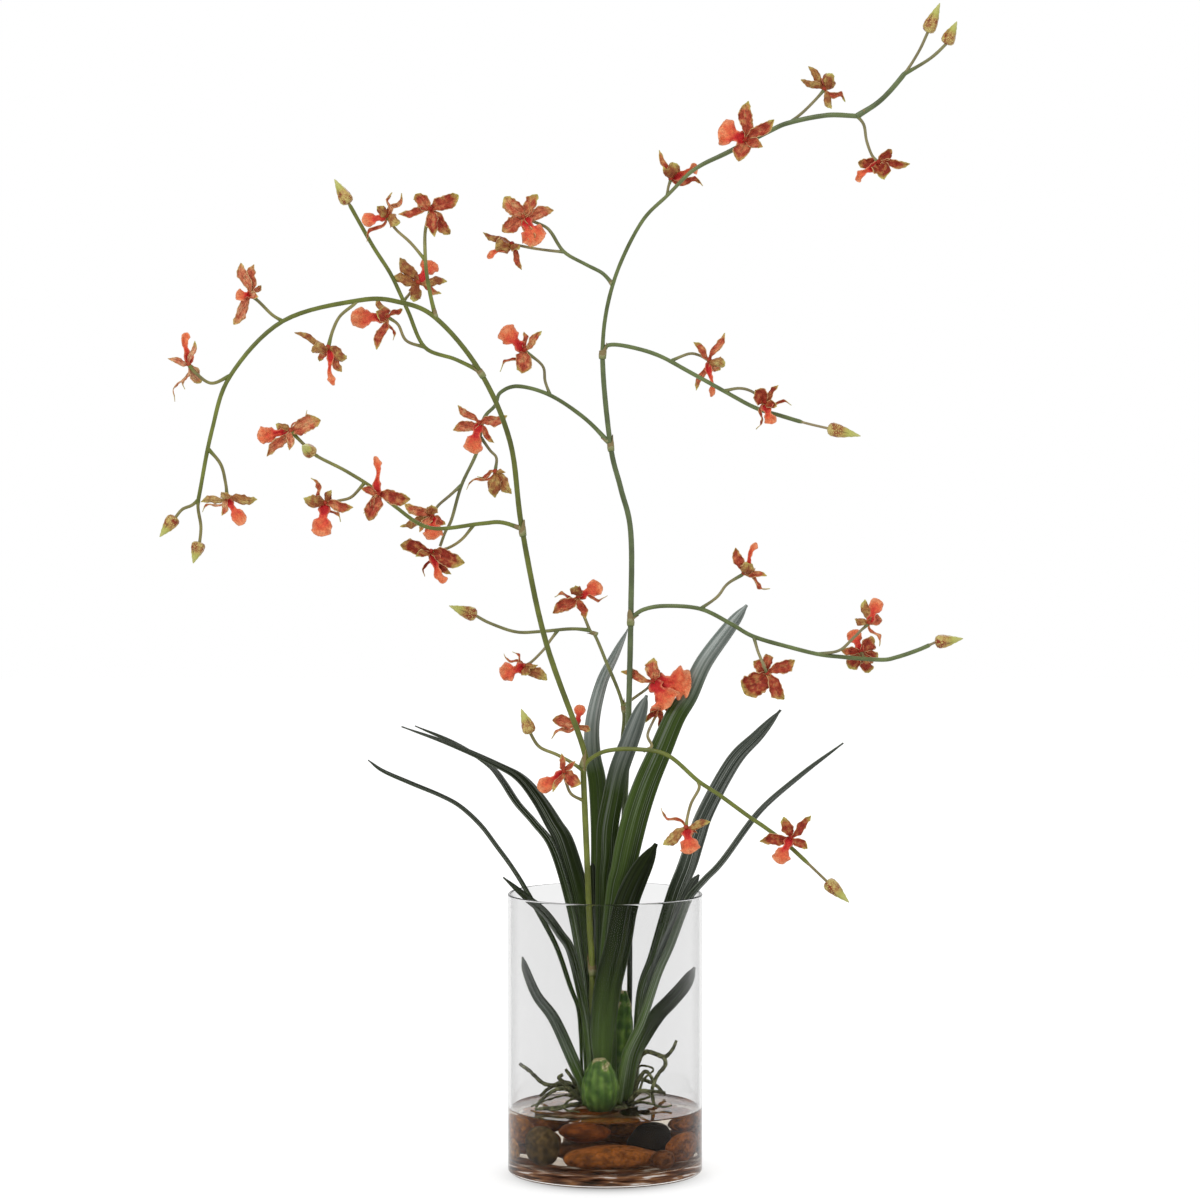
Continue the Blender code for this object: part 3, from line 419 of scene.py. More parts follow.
def leafOutline(t, foot, taper, blunt):
    rise = foot + (1 - foot) * math.sin(min(t / leaf["widestBy"], 1) * math.pi / 2) ** 1.5
    s = max(t - leaf["narrowsFrom"], 0) / (1 - leaf["narrowsFrom"])
    return rise * (1 - taper * s) * max(1 - s ** blunt, leaf["leastWidth"])


def leafPolyester():
    # pressed polyester leaf: parallel veins embossed in lanes, bottle green, satin; a painted grey sheen on
    # some
    material, tree, shader = newMaterial("leafPolyester")
    place = addNode(tree, "ShaderNodeTexCoord").outputs["Object"]
    along, across, bloom, fresh, turn, shine = (
        addNode(tree, "ShaderNodeAttribute", attribute_name=name).outputs["Fac"]
        for name in ("along", "across", "bloom", "fresh", "turn", "shine"))
    lane = addNode(tree, "ShaderNodeCombineXYZ", {"X": across, "Y": along, "Z": shine})
    broad, fine = (
        addNode(tree, "ShaderNodeVectorMath", {0: lane.outputs[0], 1: stretched}, operation="MULTIPLY")
        for stretched in ((2.4, 1.4, 30.0), (13.0, 2.2, 60.0)))
    streak = addNode(tree, "ShaderNodeTexNoise", {"Vector": broad.outputs[0], "Scale": 1.0, "Detail": 3.0})
    caught = addNode(tree, "ShaderNodeTexNoise", {"Vector": fine.outputs[0], "Scale": 1.0, "Detail": 1.0})
    cloud = addNode(tree, "ShaderNodeTexNoise", {"Vector": place, "Scale": 35.0, "Detail": 2.0})
    vein = addNode(tree, "ShaderNodeMath", {0: across, 1: 42.0}, operation="MULTIPLY")
    wave = addNode(tree, "ShaderNodeMath", {0: vein.outputs[0]}, operation="SINE")

    # two colours of the cloth and the grey of a painted sheen, each streaked along the leaf
    dark, grey, sappy = (
        addNode(tree, "ShaderNodeValToRGB", {"Fac": streak.outputs["Fac"]}, stops=stops)
        for stops in (
            [(0.25, "#0f1407"), (0.5, "#1b230e"), (0.75, "#2f381a")],
            [(0.32, "#5f6c65"), (0.46, "#a3ada8"), (0.62, "#dde2df")],
            [(0.25, "#37491f"), (0.5, "#4e642c"), (0.75, "#668040")]))

    # fresh green at the foot and up to the turn; past it a painted grey sheen, patchy and stronger on the
    # half of negative across, which is painted as the lit half
    foot = addNode(tree, "ShaderNodeValToRGB", {"Fac": along},
                   stops=[(0.0, 0.95), (0.22, 0.75), (0.5, 0.12), (0.7, 0.0)])
    past = addNode(tree, "ShaderNodeMath", {0: along, 1: turn}, operation="SUBTRACT")
    over = addNode(tree, "ShaderNodeMapRange", {"Value": past.outputs[0], 1: -0.07, 2: 0.07, 3: 0.0, 4: 1.0})
    under = addNode(tree, "ShaderNodeMath", {0: 1.0, 1: over.outputs[0]}, operation="SUBTRACT")
    risen = addNode(tree, "ShaderNodeMath", {0: under.outputs[0], 1: fresh}, operation="MULTIPLY")
    green = addNode(tree, "ShaderNodeMath", {0: foot.outputs[0], 1: risen.outputs[0]}, operation="MAXIMUM")
    sheenPatches = addNode(tree, "ShaderNodeMapRange", {
        "Value": cloud.outputs["Fac"], 1: 0.3, 2: 0.7, 3: 0.8, 4: 1.0})
    half = addNode(tree, "ShaderNodeMapRange", {"Value": across, 1: -0.2, 2: 0.5, 3: 1.0, 4: 0.6})
    litHalfSheen = addNode(tree, "ShaderNodeMath", {0: half.outputs[0], 1: sheenPatches.outputs[0]}, operation="MULTIPLY")
    much = addNode(tree, "ShaderNodeMath", {0: bloom, 1: litHalfSheen.outputs[0]}, operation="MULTIPLY")
    paintedSheen = addNode(tree, "ShaderNodeMath", {0: much.outputs[0], 1: over.outputs[0]}, operation="MULTIPLY")

    # painted highlights along single veins, and a pale rim painted as edge light
    line = addNode(tree, "ShaderNodeMapRange", {
        "Value": caught.outputs["Fac"], 1: 0.55, 2: 0.7, 3: 0.0, 4: 0.75})
    veinHighlight = addNode(tree, "ShaderNodeMath", {0: line.outputs[0], 1: shine}, operation="MULTIPLY")
    groove = addNode(tree, "ShaderNodeMapRange", {
        "Value": wave.outputs[0], 1: -1.0, 2: 1.0, 3: 0.92, 4: 1.04})
    side = addNode(tree, "ShaderNodeMath", {0: across}, operation="ABSOLUTE")
    rim = addNode(tree, "ShaderNodeMapRange", {"Value": side.outputs[0], 1: 0.9, 2: 1.0, 3: 0.0, 4: 0.4})

    colour = dark.outputs[0]
    for share, laid in ((green, sappy.outputs[0]), (paintedSheen, grey.outputs[0]), (veinHighlight, linear("#c3c9c2"))):
        colour = addNode(tree, "ShaderNodeMix", {0: share.outputs[0], 6: colour, 7: laid},
                         data_type="RGBA").outputs[2]
    lined = addNode(tree, "ShaderNodeVectorMath", {0: colour, "Scale": groove.outputs[0]}, operation="SCALE")
    rimHighlighted = addNode(tree, "ShaderNodeMix", {0: rim.outputs[0], 6: lined.outputs[0], 7: linear("#7c8472")},
                    data_type="RGBA")
    bump = addNode(tree, "ShaderNodeBump", {"Height": wave.outputs[0], "Strength": 0.15, "Distance": 0.0003})
    setInputs(tree, shader, {
        "Base Color": rimHighlighted.outputs[2], "Roughness": 0.33, "Specular IOR Level": 0.05,
        "Normal": bump.outputs[0]})
    return material


def bladeRows(number, width, foot, footSide, tipSide, ends, route, lengths):
    # rows of points across the blade, folded along its midrib and ribbed
    last = len(route) - 1
    rows = []
    for i, at in enumerate(route):
        t = i / last
        along = (route[min(i + 1, last)] - route[max(i - 1, 0)]).normalized()
        side = Vector(footSide).lerp(Vector(tipSide), t ** 1.5)
        side = (side - along * side.dot(along)).normalized()
        keel = side.cross(along).normalized()
        spread = width / 2 * leafOutline(t, foot, *ends)
        fold = leaf["fold"] + leaf["footFold"] * max(1 - t / leaf["widestBy"], 0)
        row = []
        for j in range(leaf["across"] + 1):
            v = 2 * j / leaf["across"] - 1
            ripple = noise.noise(Vector((lengths[i] * 0.03, v * 1.2, number * 5.0))) * leaf["ripple"] * v * v
            height = fold * spread * (1 - abs(v) ** 1.4) + ripple
            height += leaf["ribDepth"] * spread * math.cos(v * math.pi * leaf["ribs"])
            row.append(at + side * (spread * v) + keel * height)
        rows.append(row)
    return rows


def makeLeaves():
    material = leafPolyester()
    for number, (name, (width, foot, footSide, tipSide, ends, look, points)) in enumerate(leaves.items()):
        route = smoothRoute(points, leaf["parts"])
        lengths = [0.0]
        for a, b in zip(route, route[1:]):
            lengths.append(lengths[-1] + (b - a).length)
        looks = dict(zip(("bloom", "fresh", "turn", "shine"), look))
        shape = Shape("along", "across", *looks)
        shape.addSheet(
            bladeRows(number, width, foot, footSide, tipSide, ends, route, lengths), leaf["thickness"],
            lambda i, j: {"along": lengths[i] / lengths[-1], "across": 2 * j / leaf["across"] - 1, **looks})
        planted = name.startswith("leaf_")
        obj = shape.toObject(name.replace("_", "Blade") if planted else name, material)
        finishPiece(obj, "leaf_green", *([name] if planted else []))
    print("leaves pressed")


# Pseudobulbs: foot, top, radii from foot to top, depth against width, ribs round it, and how much painted
# light lifts its colour

bulb = {"stations": 30, "around": 96, "ribHeight": 0.022, "lumps": 0.04, "topShare": 0.8}
bulbs = {
    "front": ((-4, -17, 50.0), (-4, -16, 91), [9, 12.6, 14.1, 14.4, 13.7, 11.8, 8.8, 4.6], 0.76, 13, 1.0),
    "rear": ((11, 22, 54), (14, 16, 139), [7, 8.8, 9.6, 9.6, 9, 7.2, 3.6], 0.9, 9, 1.35),
}


def bulbSkin():
    # moulded plastic, sprayed: green mottled yellow between its lengthwise ribs, dark at the foot; painted
    # shade in the rib hollows, a painted highlight on the crests, and painted light on the rear bulb
    material, tree, shader = newMaterial("mouldedBulbSkin")
    place = addNode(tree, "ShaderNodeTexCoord").outputs["Object"]
    along, rib, light = (addNode(tree, "ShaderNodeAttribute", attribute_name=name).outputs["Fac"]
                         for name in ("along", "rib", "light"))
    blotch = addNode(tree, "ShaderNodeTexNoise", {"Vector": place, "Scale": 160.0, "Detail": 3.0})
    fine = addNode(tree, "ShaderNodeTexNoise", {"Vector": place, "Scale": 900.0, "Detail": 2.0})
    mottled = addNode(tree, "ShaderNodeValToRGB", {"Fac": blotch.outputs["Fac"]},
                      stops=[(0.3, "#34501a"), (0.5, "#4c6a28"), (0.7, "#6f8c3a")])
    foot = addNode(tree, "ShaderNodeMapRange", {"Value": along, 1: 0.02, 2: 0.3, 3: 0.8, 4: 0.0})
    low = addNode(tree, "ShaderNodeMix", {0: foot.outputs[0], 6: mottled.outputs[0], 7: linear("#26301a")},
                  data_type="RGBA")
    # the dry scar at the top
    scar = addNode(tree, "ShaderNodeMath", {0: along, 1: blotch.outputs["Fac"]}, operation="ADD")
    top = addNode(tree, "ShaderNodeMapRange", {"Value": scar.outputs[0], 1: 1.43, 2: 1.5, 3: 0.0, 4: 1.0})
    brown = addNode(tree, "ShaderNodeValToRGB", {"Fac": fine.outputs["Fac"]},
                    stops=[(0.35, "#6e5a34"), (0.5, "#a39a6a"), (0.68, "#c9c19a")])
    colour = addNode(tree, "ShaderNodeMix", {0: top.outputs[0], 6: low.outputs[2], 7: brown.outputs[0]},
                     data_type="RGBA")
    # painted shade in the rib hollows and a painted highlight on the crests, scaled by the painted light lift
    # of the rear bulb
    shade = addNode(tree, "ShaderNodeMapRange", {"Value": rib, 1: -1.0, 2: 1.0, 3: 0.7, 4: 1.15})
    lit = addNode(tree, "ShaderNodeMath", {0: shade.outputs[0], 1: light}, operation="MULTIPLY")
    ribShaded = addNode(tree, "ShaderNodeVectorMath", {0: colour.outputs[2], "Scale": lit.outputs[0]},
                     operation="SCALE")
    bump = addNode(tree, "ShaderNodeBump", {
        "Height": blotch.outputs["Fac"], "Strength": 0.3, "Distance": 0.0005})
    setInputs(tree, shader, {
        "Base Color": ribShaded.outputs[0], "Roughness": 0.48, "Specular IOR Level": 0.2,
        "Normal": bump.outputs[0]})
    return material


def makeBulbs():
    material = bulbSkin()
    stations, around = bulb["stations"], bulb["around"]
    for name, (foot, top, radii, depth, ribs, light) in bulbs.items():
        stops = [(i / (len(radii) - 1), radius) for i, radius in enumerate(radii)]
        rings, ripples = [], []
        for i in range(stations + 1):
            t = i / stations
            middle = Vector(foot).lerp(Vector(top), t)
            radius = eased(stops, t) if i < stations else radii[-1] * bulb["topShare"]
            ring, ripple = [], []
            for k in range(around):
                angle = 2 * math.pi * k / around
                ripple.append(math.cos(ribs * angle + 1.5 * noise.noise(Vector((k * 0.08, t * 3, 4)))))
                lump = bulb["lumps"] * noise.noise(Vector((k * 0.05, t * 4, 9)))
                reach = radius * (1 + bulb["ribHeight"] * ripple[k] + lump)
                ring.append(middle + Vector((math.cos(angle) * reach, math.sin(angle) * reach * depth, 0)))
            rings.append(ring)
            ripples.append(ripple)
        shape = Shape("along", "rib", "light")
        shape.addRings(rings, lambda i, k: {"along": i / stations, "rib": ripples[i][k], "light": light})
        finishPiece(shape.toObject(name + "Pseudobulb", material), "bulb_green", name + "_pseudobulb")
    print("bulbs moulded")


# The rhizome under the clump, and the roots that leave it

rhizome = {"centre": (3, 20, 48.6), "radius": 22.5, "deep": 1.2, "half": 4.6, "stations": 13, "around": 64,
           "lumps": 0.12}
root = {"parts": 8, "thins": 0.35}
rootSweep = {"Step": 0.0009, "Sides": 12, "Lump size": 330.0, "Lump height": 0.0017}
roots = [
    (2.1, [(-15, 22, 51), (-28, 15, 64), (-42, 6, 66), (-50, 3, 69), (-58, 2, 77), (-67, 1, 84)]),
    (2.1, [(-13, 6, 51), (-25, 0, 62), (-36, -4, 65), (-46, -8, 60), (-54, -11, 52)]),
    (2.1, [(-13, 5, 51), (-23, -4, 59), (-33, -8, 71), (-36, -9, 75), (-33, -10, 77)]),
    (1.9, [(-17, 21, 51), (-25, 17, 68), (-31, 16, 77)]),
    (1.9, [(-14, 8, 52), (-34, -14, 52.5), (-54, -22, 52)]),
    (2.1, [(18, 16, 49), (25, 14, 80), (31, 12, 91), (39, 12, 90), (46, 10, 87), (47, 8, 81), (41, 5, 74),
           (37, 2, 63), (38, 0, 52)]),
    (1.9, [(40, 12, 89.5), (47, 10, 88), (53, 8, 94), (56, 8, 101)]),
    (1.9, [(20, 10, 49), (25, 12, 66), (31, 10, 76), (36, 6, 73), (38, 3, 66)]),
    (1.9, [(16, 6, 49), (25, -2, 62), (36, -4, 63), (47, -5, 62)]),
    (1.9, [(12, 40, 49), (24, 52, 62), (38, 52, 60), (48, 46, 52)]),
    (1.9, [(-12, 34, 49), (-30, 42, 62), (-44, 42, 58), (-52, 38, 52)]),
    # finer ones, lying on the resin or just above it
    (1.2, [(-12, 2, 51), (-26, -12, 54), (-36, -20, 51.6), (-46, -17, 51), (-53, -14, 51)]),
    (1.1, [(-12, 6, 51), (-24, -2, 57), (-32, -16, 54), (-29, -24, 51.4), (-20, -27, 51)]),
    (1.2, [(16, 8, 50), (26, 4, 60), (30, 8, 70), (38, 8, 78), (30, 10, 81), (24, 12, 78)]),
    (1.1, [(17, 4, 50), (27, -4, 56), (35, -9, 60), (30, -12, 64), (26, -10, 62)]),
    (1.1, [(17, 10, 50), (30, -2, 54), (44, -8, 51.5), (52, -8, 52.5)]),
    (1.0, [(-14, 14, 51), (-30, 6, 58), (-44, -1, 56), (-58, -4, 51)]),
]


def rootBark():
    # wire dipped in latex, dusted grey-olive, browner along its ridges
    material, tree, shader = newMaterial("dippedRootBark")
    place = addNode(tree, "ShaderNodeTexCoord").outputs["Object"]
    cloud = addNode(tree, "ShaderNodeTexNoise", {"Vector": place, "Scale": 260.0, "Detail": 4.0})
    colour = addNode(tree, "ShaderNodeValToRGB", {"Fac": cloud.outputs["Fac"]},
                     stops=[(0.3, "#33301c"), (0.5, "#56583a"), (0.7, "#87895f")])
    bump = addNode(tree, "ShaderNodeBump", {
        "Height": cloud.outputs["Fac"], "Strength": 0.6, "Distance": 0.0006})
    setInputs(tree, shader, {
        "Base Color": colour.outputs[0], "Roughness": 0.6, "Specular IOR Level": 0.15,
        "Normal": bump.outputs[0]})
    return material


def wireObject(name, routes):
    # a mesh of bare edges: one chain of points for each route, each point with its radius and its tone
    mesh = bpy.data.meshes.new(name)
    points, radii, tones, edges = [], [], [], []
    for route, thick, tone in routes:
        start = len(points)
        points += [tuple(Vector(p) * mm) for p in route]
        radii += [r * mm for r in thick]
        tones += [tone] * len(route)
        edges += [(i, i + 1) for i in range(start, len(points) - 1)]
    mesh.from_pydata(points, edges, [])
    mesh.attributes.new("girth", "FLOAT", "POINT").data.foreach_set("value", radii)
    mesh.attributes.new("tone", "FLOAT", "POINT").data.foreach_set("value", tones)
    obj = bpy.data.objects.new(name, mesh)
    scene.collection.objects.link(obj)
    return obj


def startTree(name, **inputs):
    # an empty Geometry Nodes tree with the inputs named; an underscore stands for a space
    tree = bpy.data.node_groups.new(name, "GeometryNodeTree")
    for title, kind in {"Geometry": "Geometry", **inputs, "Finish": "Material"}.items():
        tree.interface.new_socket(title.replace("_", " "), in_out="INPUT", socket_type="NodeSocket" + kind)
    tree.interface.new_socket("Geometry", in_out="OUTPUT", socket_type="NodeSocketGeometry")
    return tree, addNode(tree, "NodeGroupInput").outputs


def endTree(tree, geometry, finish):
    real = addNode(tree, "GeometryNodeRealizeInstances", {"Geometry": geometry})
    smooth = addNode(tree, "GeometryNodeSetShadeSmooth", {"Geometry": real.outputs[0]})
    done = addNode(tree, "GeometryNodeSetMaterial", {"Geometry": smooth.outputs[0], "Material": finish})
    addNode(tree, "NodeGroupOutput", {0: done.outputs[0]})
    return tree


def sweepTree():
    # sweeps a knobbly round bar along each chain of edges
    tree, given = startTree("sweepRoutes", Step="Float", Sides="Int", Lump_size="Float", Lump_height="Float")
    girth = addNode(tree, "GeometryNodeInputNamedAttribute", {"Name": "girth"}, data_type="FLOAT")
    curve = addNode(tree, "GeometryNodeMeshToCurve", {"Mesh": given["Geometry"]})
    even = addNode(tree, "GeometryNodeResampleCurve", {"Curve": curve.outputs[0], "Length": given["Step"]},
                   mode="LENGTH")
    circle = addNode(tree, "GeometryNodeCurvePrimitiveCircle", {"Resolution": given["Sides"], "Radius": 1.0})
    swept = addNode(tree, "GeometryNodeCurveToMesh", {
        "Curve": even.outputs[0], "Profile Curve": circle.outputs[0], "Scale": girth.outputs[0],
        "Fill Caps": True})
    place = addNode(tree, "GeometryNodeInputPosition")
    lump = addNode(tree, "ShaderNodeTexNoise", {
        "Vector": place.outputs[0], "Scale": given["Lump size"], "Detail": 2.0})
    centred = addNode(tree, "ShaderNodeMath", {0: lump.outputs["Fac"], 1: 0.5}, operation="SUBTRACT")
    height = addNode(tree, "ShaderNodeMath", {0: centred.outputs[0], 1: given["Lump height"]},
                     operation="MULTIPLY")
    normal = addNode(tree, "GeometryNodeInputNormal")
    offset = addNode(tree, "ShaderNodeVectorMath", {0: normal.outputs[0], "Scale": height.outputs[0]},
                     operation="SCALE")
    knobbly = addNode(tree, "GeometryNodeSetPosition", {
        "Geometry": swept.outputs[0], "Offset": offset.outputs[0]})
    return endTree(tree, knobbly.outputs[0], given["Finish"])


def grow(obj, tree, inputs):
    # runs a tree on the object and keeps its result as a plain mesh
    modifier = obj.modifiers.new("grow", "NODES")
    modifier.node_group = tree
    for item in tree.interface.items_tree:
        if item.in_out == "INPUT" and item.name in inputs:
            modifier[item.identifier] = inputs[item.name]
    evaluated = obj.evaluated_get(bpy.context.evaluated_depsgraph_get())
    mesh = bpy.data.meshes.new_from_object(evaluated)
    obj.modifiers.remove(modifier)
    bare = obj.data
    obj.data = mesh
    bpy.data.meshes.remove(bare)
    return obj


def makeRoots(sweep):
    material = rootBark()
    routes = []
    for radius, points in roots:
        route = smoothRoute(points, root["parts"])
        last = len(route) - 1
        routes.append((route, [radius * (1 - root["thins"] * i / last) for i in range(last + 1)], 0))
    wires = wireObject("wireRoots", routes)
    finishPiece(grow(wires, sweep, {**rootSweep, "Finish": material}), "root_olive")
    rings = []
    for i in range(rhizome["stations"]):
        tilt = math.pi * (i + 0.5) / rhizome["stations"] - math.pi / 2
        ring = []
        for k in range(rhizome["around"]):
            angle = 2 * math.pi * k / rhizome["around"]
            out = Vector((math.cos(angle), math.sin(angle), 0))
            lump = 1 + rhizome["lumps"] * noise.noise(out * 3.1 + Vector((0, 0, tilt * 2)))
            reach = rhizome["radius"] * math.cos(tilt) ** 0.6 * lump
            height = rhizome["half"] * math.sin(tilt)
            offset = Vector((out.x * reach, out.y * reach * rhizome["deep"], height))
            ring.append(Vector(rhizome["centre"]) + offset)
        rings.append(ring)
    shape = Shape()
    shape.addRings(rings, lambda i, k: {})
    finishPiece(shape.toObject("rhizomeBody", material), "root_olive", "rhizome_and_roots")
    print("roots grown")


# Flower stems: each route is a start radius, an end radius, its points, and what it ends in: nothing, the
# flower named, or a bud that reaches the tip given; a fourth value there is the share of the route, counted
# in points, past which the wire is thin

stemLeft = [
    (2.7, 1.5, [(-7, 8.5, 53.3), (-9, 7, 95), (-10, 4, 134), (-10, 1, 160), (-12, -3, 192), (-14, -9, 243),
                (-17, -15, 315), (-17, -17, 333), (-46, -24, 416), (-64, -32, 503), (-73, -38, 570),
                (-96, -46, 624), (-129, -54, 664), (-157, -60, 676), (-187, -65, 677), (-244, -74, 661),
                (-283, -80, 620), (-297, -84, 578), (-307, -88, 526)], None),
    (1.1, 1.0, [(-307, -88, 526), (-312, -88, 522), (-319, -89, 519), (-324, -90, 513)], (-336, -92, 498)),
    (1.1, 1.0, [(-307, -88, 526), (-307, -89, 519), (-305, -89, 506), (-306, -89, 494)], (-311, -90, 478)),
    (1.1, 1.0, [(-283, -80, 620), (-297, -83, 614), (-308, -86, 621)], "flower_01"),
    (1.1, 1.0, [(-244, -74, 661), (-252, -76, 666), (-261, -77, 675)], "flower_02"),
    (1.1, 1.0, [(-188, -65, 677), (-191, -66, 673.5), (-201, -68, 665), (-206.5, -69, 654)], "flower_03"),
    (1.1, 1.0, [(-300, -85, 565), (-290, -88, 553), (-286, -90, 538)], "flower_08"),
    # spur and pedicels beside the first joint
    (1.2, 1.0, [(-17, -15, 315), (-27, -17, 322), (-38, -19, 328), (-51, -21, 334), (-58, -23, 345)],
     (-65, -25, 364)),
    (1.0, 0.9, [(-16, -13, 291), (-26, -20, 297), (-30, -25, 306)], "flower_32"),
    (1.0, 0.9, [(-18, -17, 335), (-19, -9, 338), (-21, -5, 343)], "flower_31"),
    # long branch falling to the right
    (1.5, 1.1, [(-17, -15, 315), (-13, -18, 323), (1, -24, 331), (24, -32, 333), (48, -40, 329),
                (71, -46, 310), (88, -51, 299), (109, -56, 284), (124, -60, 274), (141, -64, 261),
                (169, -70, 235)], (186, -73, 219, 0.86)),
    (1.0, 0.9, [(30, -34, 332), (36, -26, 335), (33, -8, 342), (38, 14, 352)], "flower_34"),
    (1.0, 0.9, [(71, -46, 310), (72, -47, 304), (66, -49, 293), (63, -50, 282)], "flower_35"),
    (1.0, 0.9, [(134, -62, 266), (138, -68, 267)], "flower_36"),
    # branch to the left from the second joint
    (1.5, 1.0, [(-64, -32, 503), (-80, -36, 508), (-96, -40, 507), (-134, -48, 504), (-161, -54, 521),
                (-176, -57, 534), (-198, -61, 548), (-219, -65, 559), (-228, -65, 567)], "flower_09"),
    (1.0, 0.9, [(-219, -65, 559), (-223, -69, 562)], (-229, -84, 567)),
    (1.0, 0.9, [(-183, -58, 539), (-193, -60, 528), (-203, -61, 525)], "flower_10"),
    (1.0, 0.9, [(-172, -56, 530), (-172, -60, 530)], "flower_11"),
    (1.0, 0.9, [(-100, -41, 507), (-110, -34, 495), (-121, -28, 488)], "flower_13"),
    # branch behind the arch
    (1.4, 1.0, [(-96, -46, 624), (-115, -43, 633), (-138, -41, 642), (-150, -44, 668), (-154, -45, 677),
                (-164, -44, 698), (-178, -42, 720), (-196, -41, 752)], (-207, -40, 770.5, 0.86)),
    (1.0, 0.9, [(-138, -41, 642), (-152, -45, 647), (-158, -46, 659)], "flower_04"),
    (1.0, 0.9, [(-154, -45, 677), (-149, -36, 684)], "flower_07"),
    # branch above the arch
    (1.4, 1.0, [(-129, -54, 664), (-133, -55, 681), (-136, -56, 699), (-137, -56, 714), (-137, -52, 730)],
     "flower_06"),
    (1.0, 0.9, [(-137, -56, 708), (-148, -55, 721), (-159, -54, 731)], "flower_05"),
]
stemRight = [
    (2.5, 1.5, [(11, 38, 53.3), (11, 36, 134), (13, 28, 220), (16, 18, 298), (18, 11, 345), (20, 8, 432),
                (20, 12, 499), (12, 16, 534), (4, 18, 568), (-2, 18, 640), (6, 14, 692), (27, 6, 738),
                (49, 0, 761), (69, -4, 780), (95, -9, 793), (127, -14, 809), (142, -18, 815),
                (170, -25, 820), (193, -30, 819)], None),
    (1.85, 1.15, [(193, -30, 819), (211, -34, 831), (228, -38, 850), (239, -40, 867), (246, -41, 882)],
     (255, -43, 904, 0.42)),
    (1.1, 1.0, [(228, -38, 850), (248, -40, 862), (260, -41, 873)], (268, -43, 890)),
    (1.0, 0.9, [(48, 0, 760), (49, 5, 767)], "flower_19"),
    (1.0, 0.9, [(105, -11, 798), (107, -17, 800)], "flower_20"),
    (1.0, 0.9, [(142, -18, 815), (152, -15, 823), (162, -11, 833)], "flower_21"),
    (1.0, 0.9, [(193, -30, 819), (198, -32, 812), (200, -33, 800), (204, -34, 789)], "flower_22"),
    # branch to the right from the first joint
    (1.5, 1.0, [(20, 8, 432), (30, 6, 439), (47, 2, 442), (74, -4, 440), (97, -10, 429), (115, -15, 419),
                (143, -20, 411), (164, -24, 406), (182, -27, 404), (212, -31, 402), (224, -33, 404),
                (241, -36, 410), (254, -38, 416)], (275, -42, 419, 0.89)),
    (1.0, 0.9, [(74, -4, 440), (87, 0, 449), (95, 2, 459)], "flower_25"),
    (1.0, 0.9, [(115, -15, 419), (118, -22, 408), (122, -28, 398)], "flower_28"),
    (1.0, 0.9, [(164, -24, 406), (180, -30, 409), (190, -34, 418), (197, -34, 425)], "flower_26"),
    (1.0, 0.9, [(199, -29, 403), (199, -24, 405)], "flower_27"),
    # branch falling to the left from the second joint
    (1.5, 1.0, [(4, 18, 568), (-16, 24, 588), (-43, 28, 606), (-68, 28, 613), (-82, 26, 608),
                (-86, 24, 598), (-95, 20, 587), (-100, 17, 562), (-112, 16, 536), (-120, 18, 509),
                (-125, 18, 499), (-129, 17, 488)], None),
    (1.0, 0.9, [(-43, 28, 606), (-47, 31, 617), (-49, 33, 629)], "flower_16"),
    (1.0, 0.9, [(-96, 20, 585), (-97, 16, 584)], "flower_14"),
    (1.0, 0.9, [(-97, 18, 573), (-90, 20, 563), (-85, 22, 557)], "flower_15"),
    (1.0, 0.9, [(-112, 16, 536), (-122, 12, 527), (-130, 8, 520)], "flower_12"),
    # branch to the right from the third joint
    (1.5, 1.0, [(-2, 18, 640), (3, 18, 645), (17, 16, 644), (41, 10, 637), (67, 3, 623), (92, -4, 609),
                (116, -11, 596), (135, -16, 590), (155, -20, 584), (172, -23, 580)], (197, -27, 574, 0.78)),
    (1.0, 0.9, [(50, 8, 632), (65, 11, 638), (73, 12, 637)], "flower_23"),
    (1.0, 0.9, [(92, -4, 609), (104, -12, 611), (114, -19, 608)], "flower_24"),
    # fork to the left from the fourth joint
    (1.4, 1.0, [(6, 14, 692), (-2, 22, 701), (-15, 26, 708), (-32, 31, 718), (-42, 35, 733), (-47, 37, 738),
                (-56, 37, 742)], "flower_17"),
    (1.0, 0.9, [(-32, 31, 718), (-42, 33, 719), (-56, 36, 721), (-66, 36, 723)], "flower_18"),
]
stemMiddle = [
    (1.6, 1.2, [(2, 47, 53.3), (3, 45, 150), (9, 37, 260), (13, 32, 329), (14, 29, 362), (0, 26, 399),
                (-8, 25, 418), (-12, 25, 422), (-19, 24, 440)], "flower_29"),
    (1.2, 1.0, [(-12, 25, 422), (-27, 24, 423), (-51, 22, 421), (-70, 18, 421), (-90, 14, 428),
                (-101, 12, 434)], (-122, 8, 442)),
    (1.0, 0.9, [(-37, 23, 422), (-43, 22, 414), (-48, 21, 407), (-57, 18, 398)], "flower_30"),
    (1.0, 0.9, [(14, 29, 362), (26, 25, 371), (33, 14, 377)], "flower_33"),
]

# Sheaths at the joints: the point of the main route, the radius over the stem, and the length of its tip
sheaths = {
    "stemLeft": [(3, 2.9, 11), (6.5, 2.75, 10), (9, 2.5, 9), (11, 2.3, 9)],
    "stemRight": [(5, 2.6, 9), (8, 2.4, 9), (9, 2.6, 9)],
    "stemMiddle": [(4, 1.75, 8), (6.5, 1.55, 6)],
}
stemLook = {"stemLeft": 0.0, "stemRight": 1.0, "stemMiddle": 0.7}  # 0 is olive green, 1 is grey-green
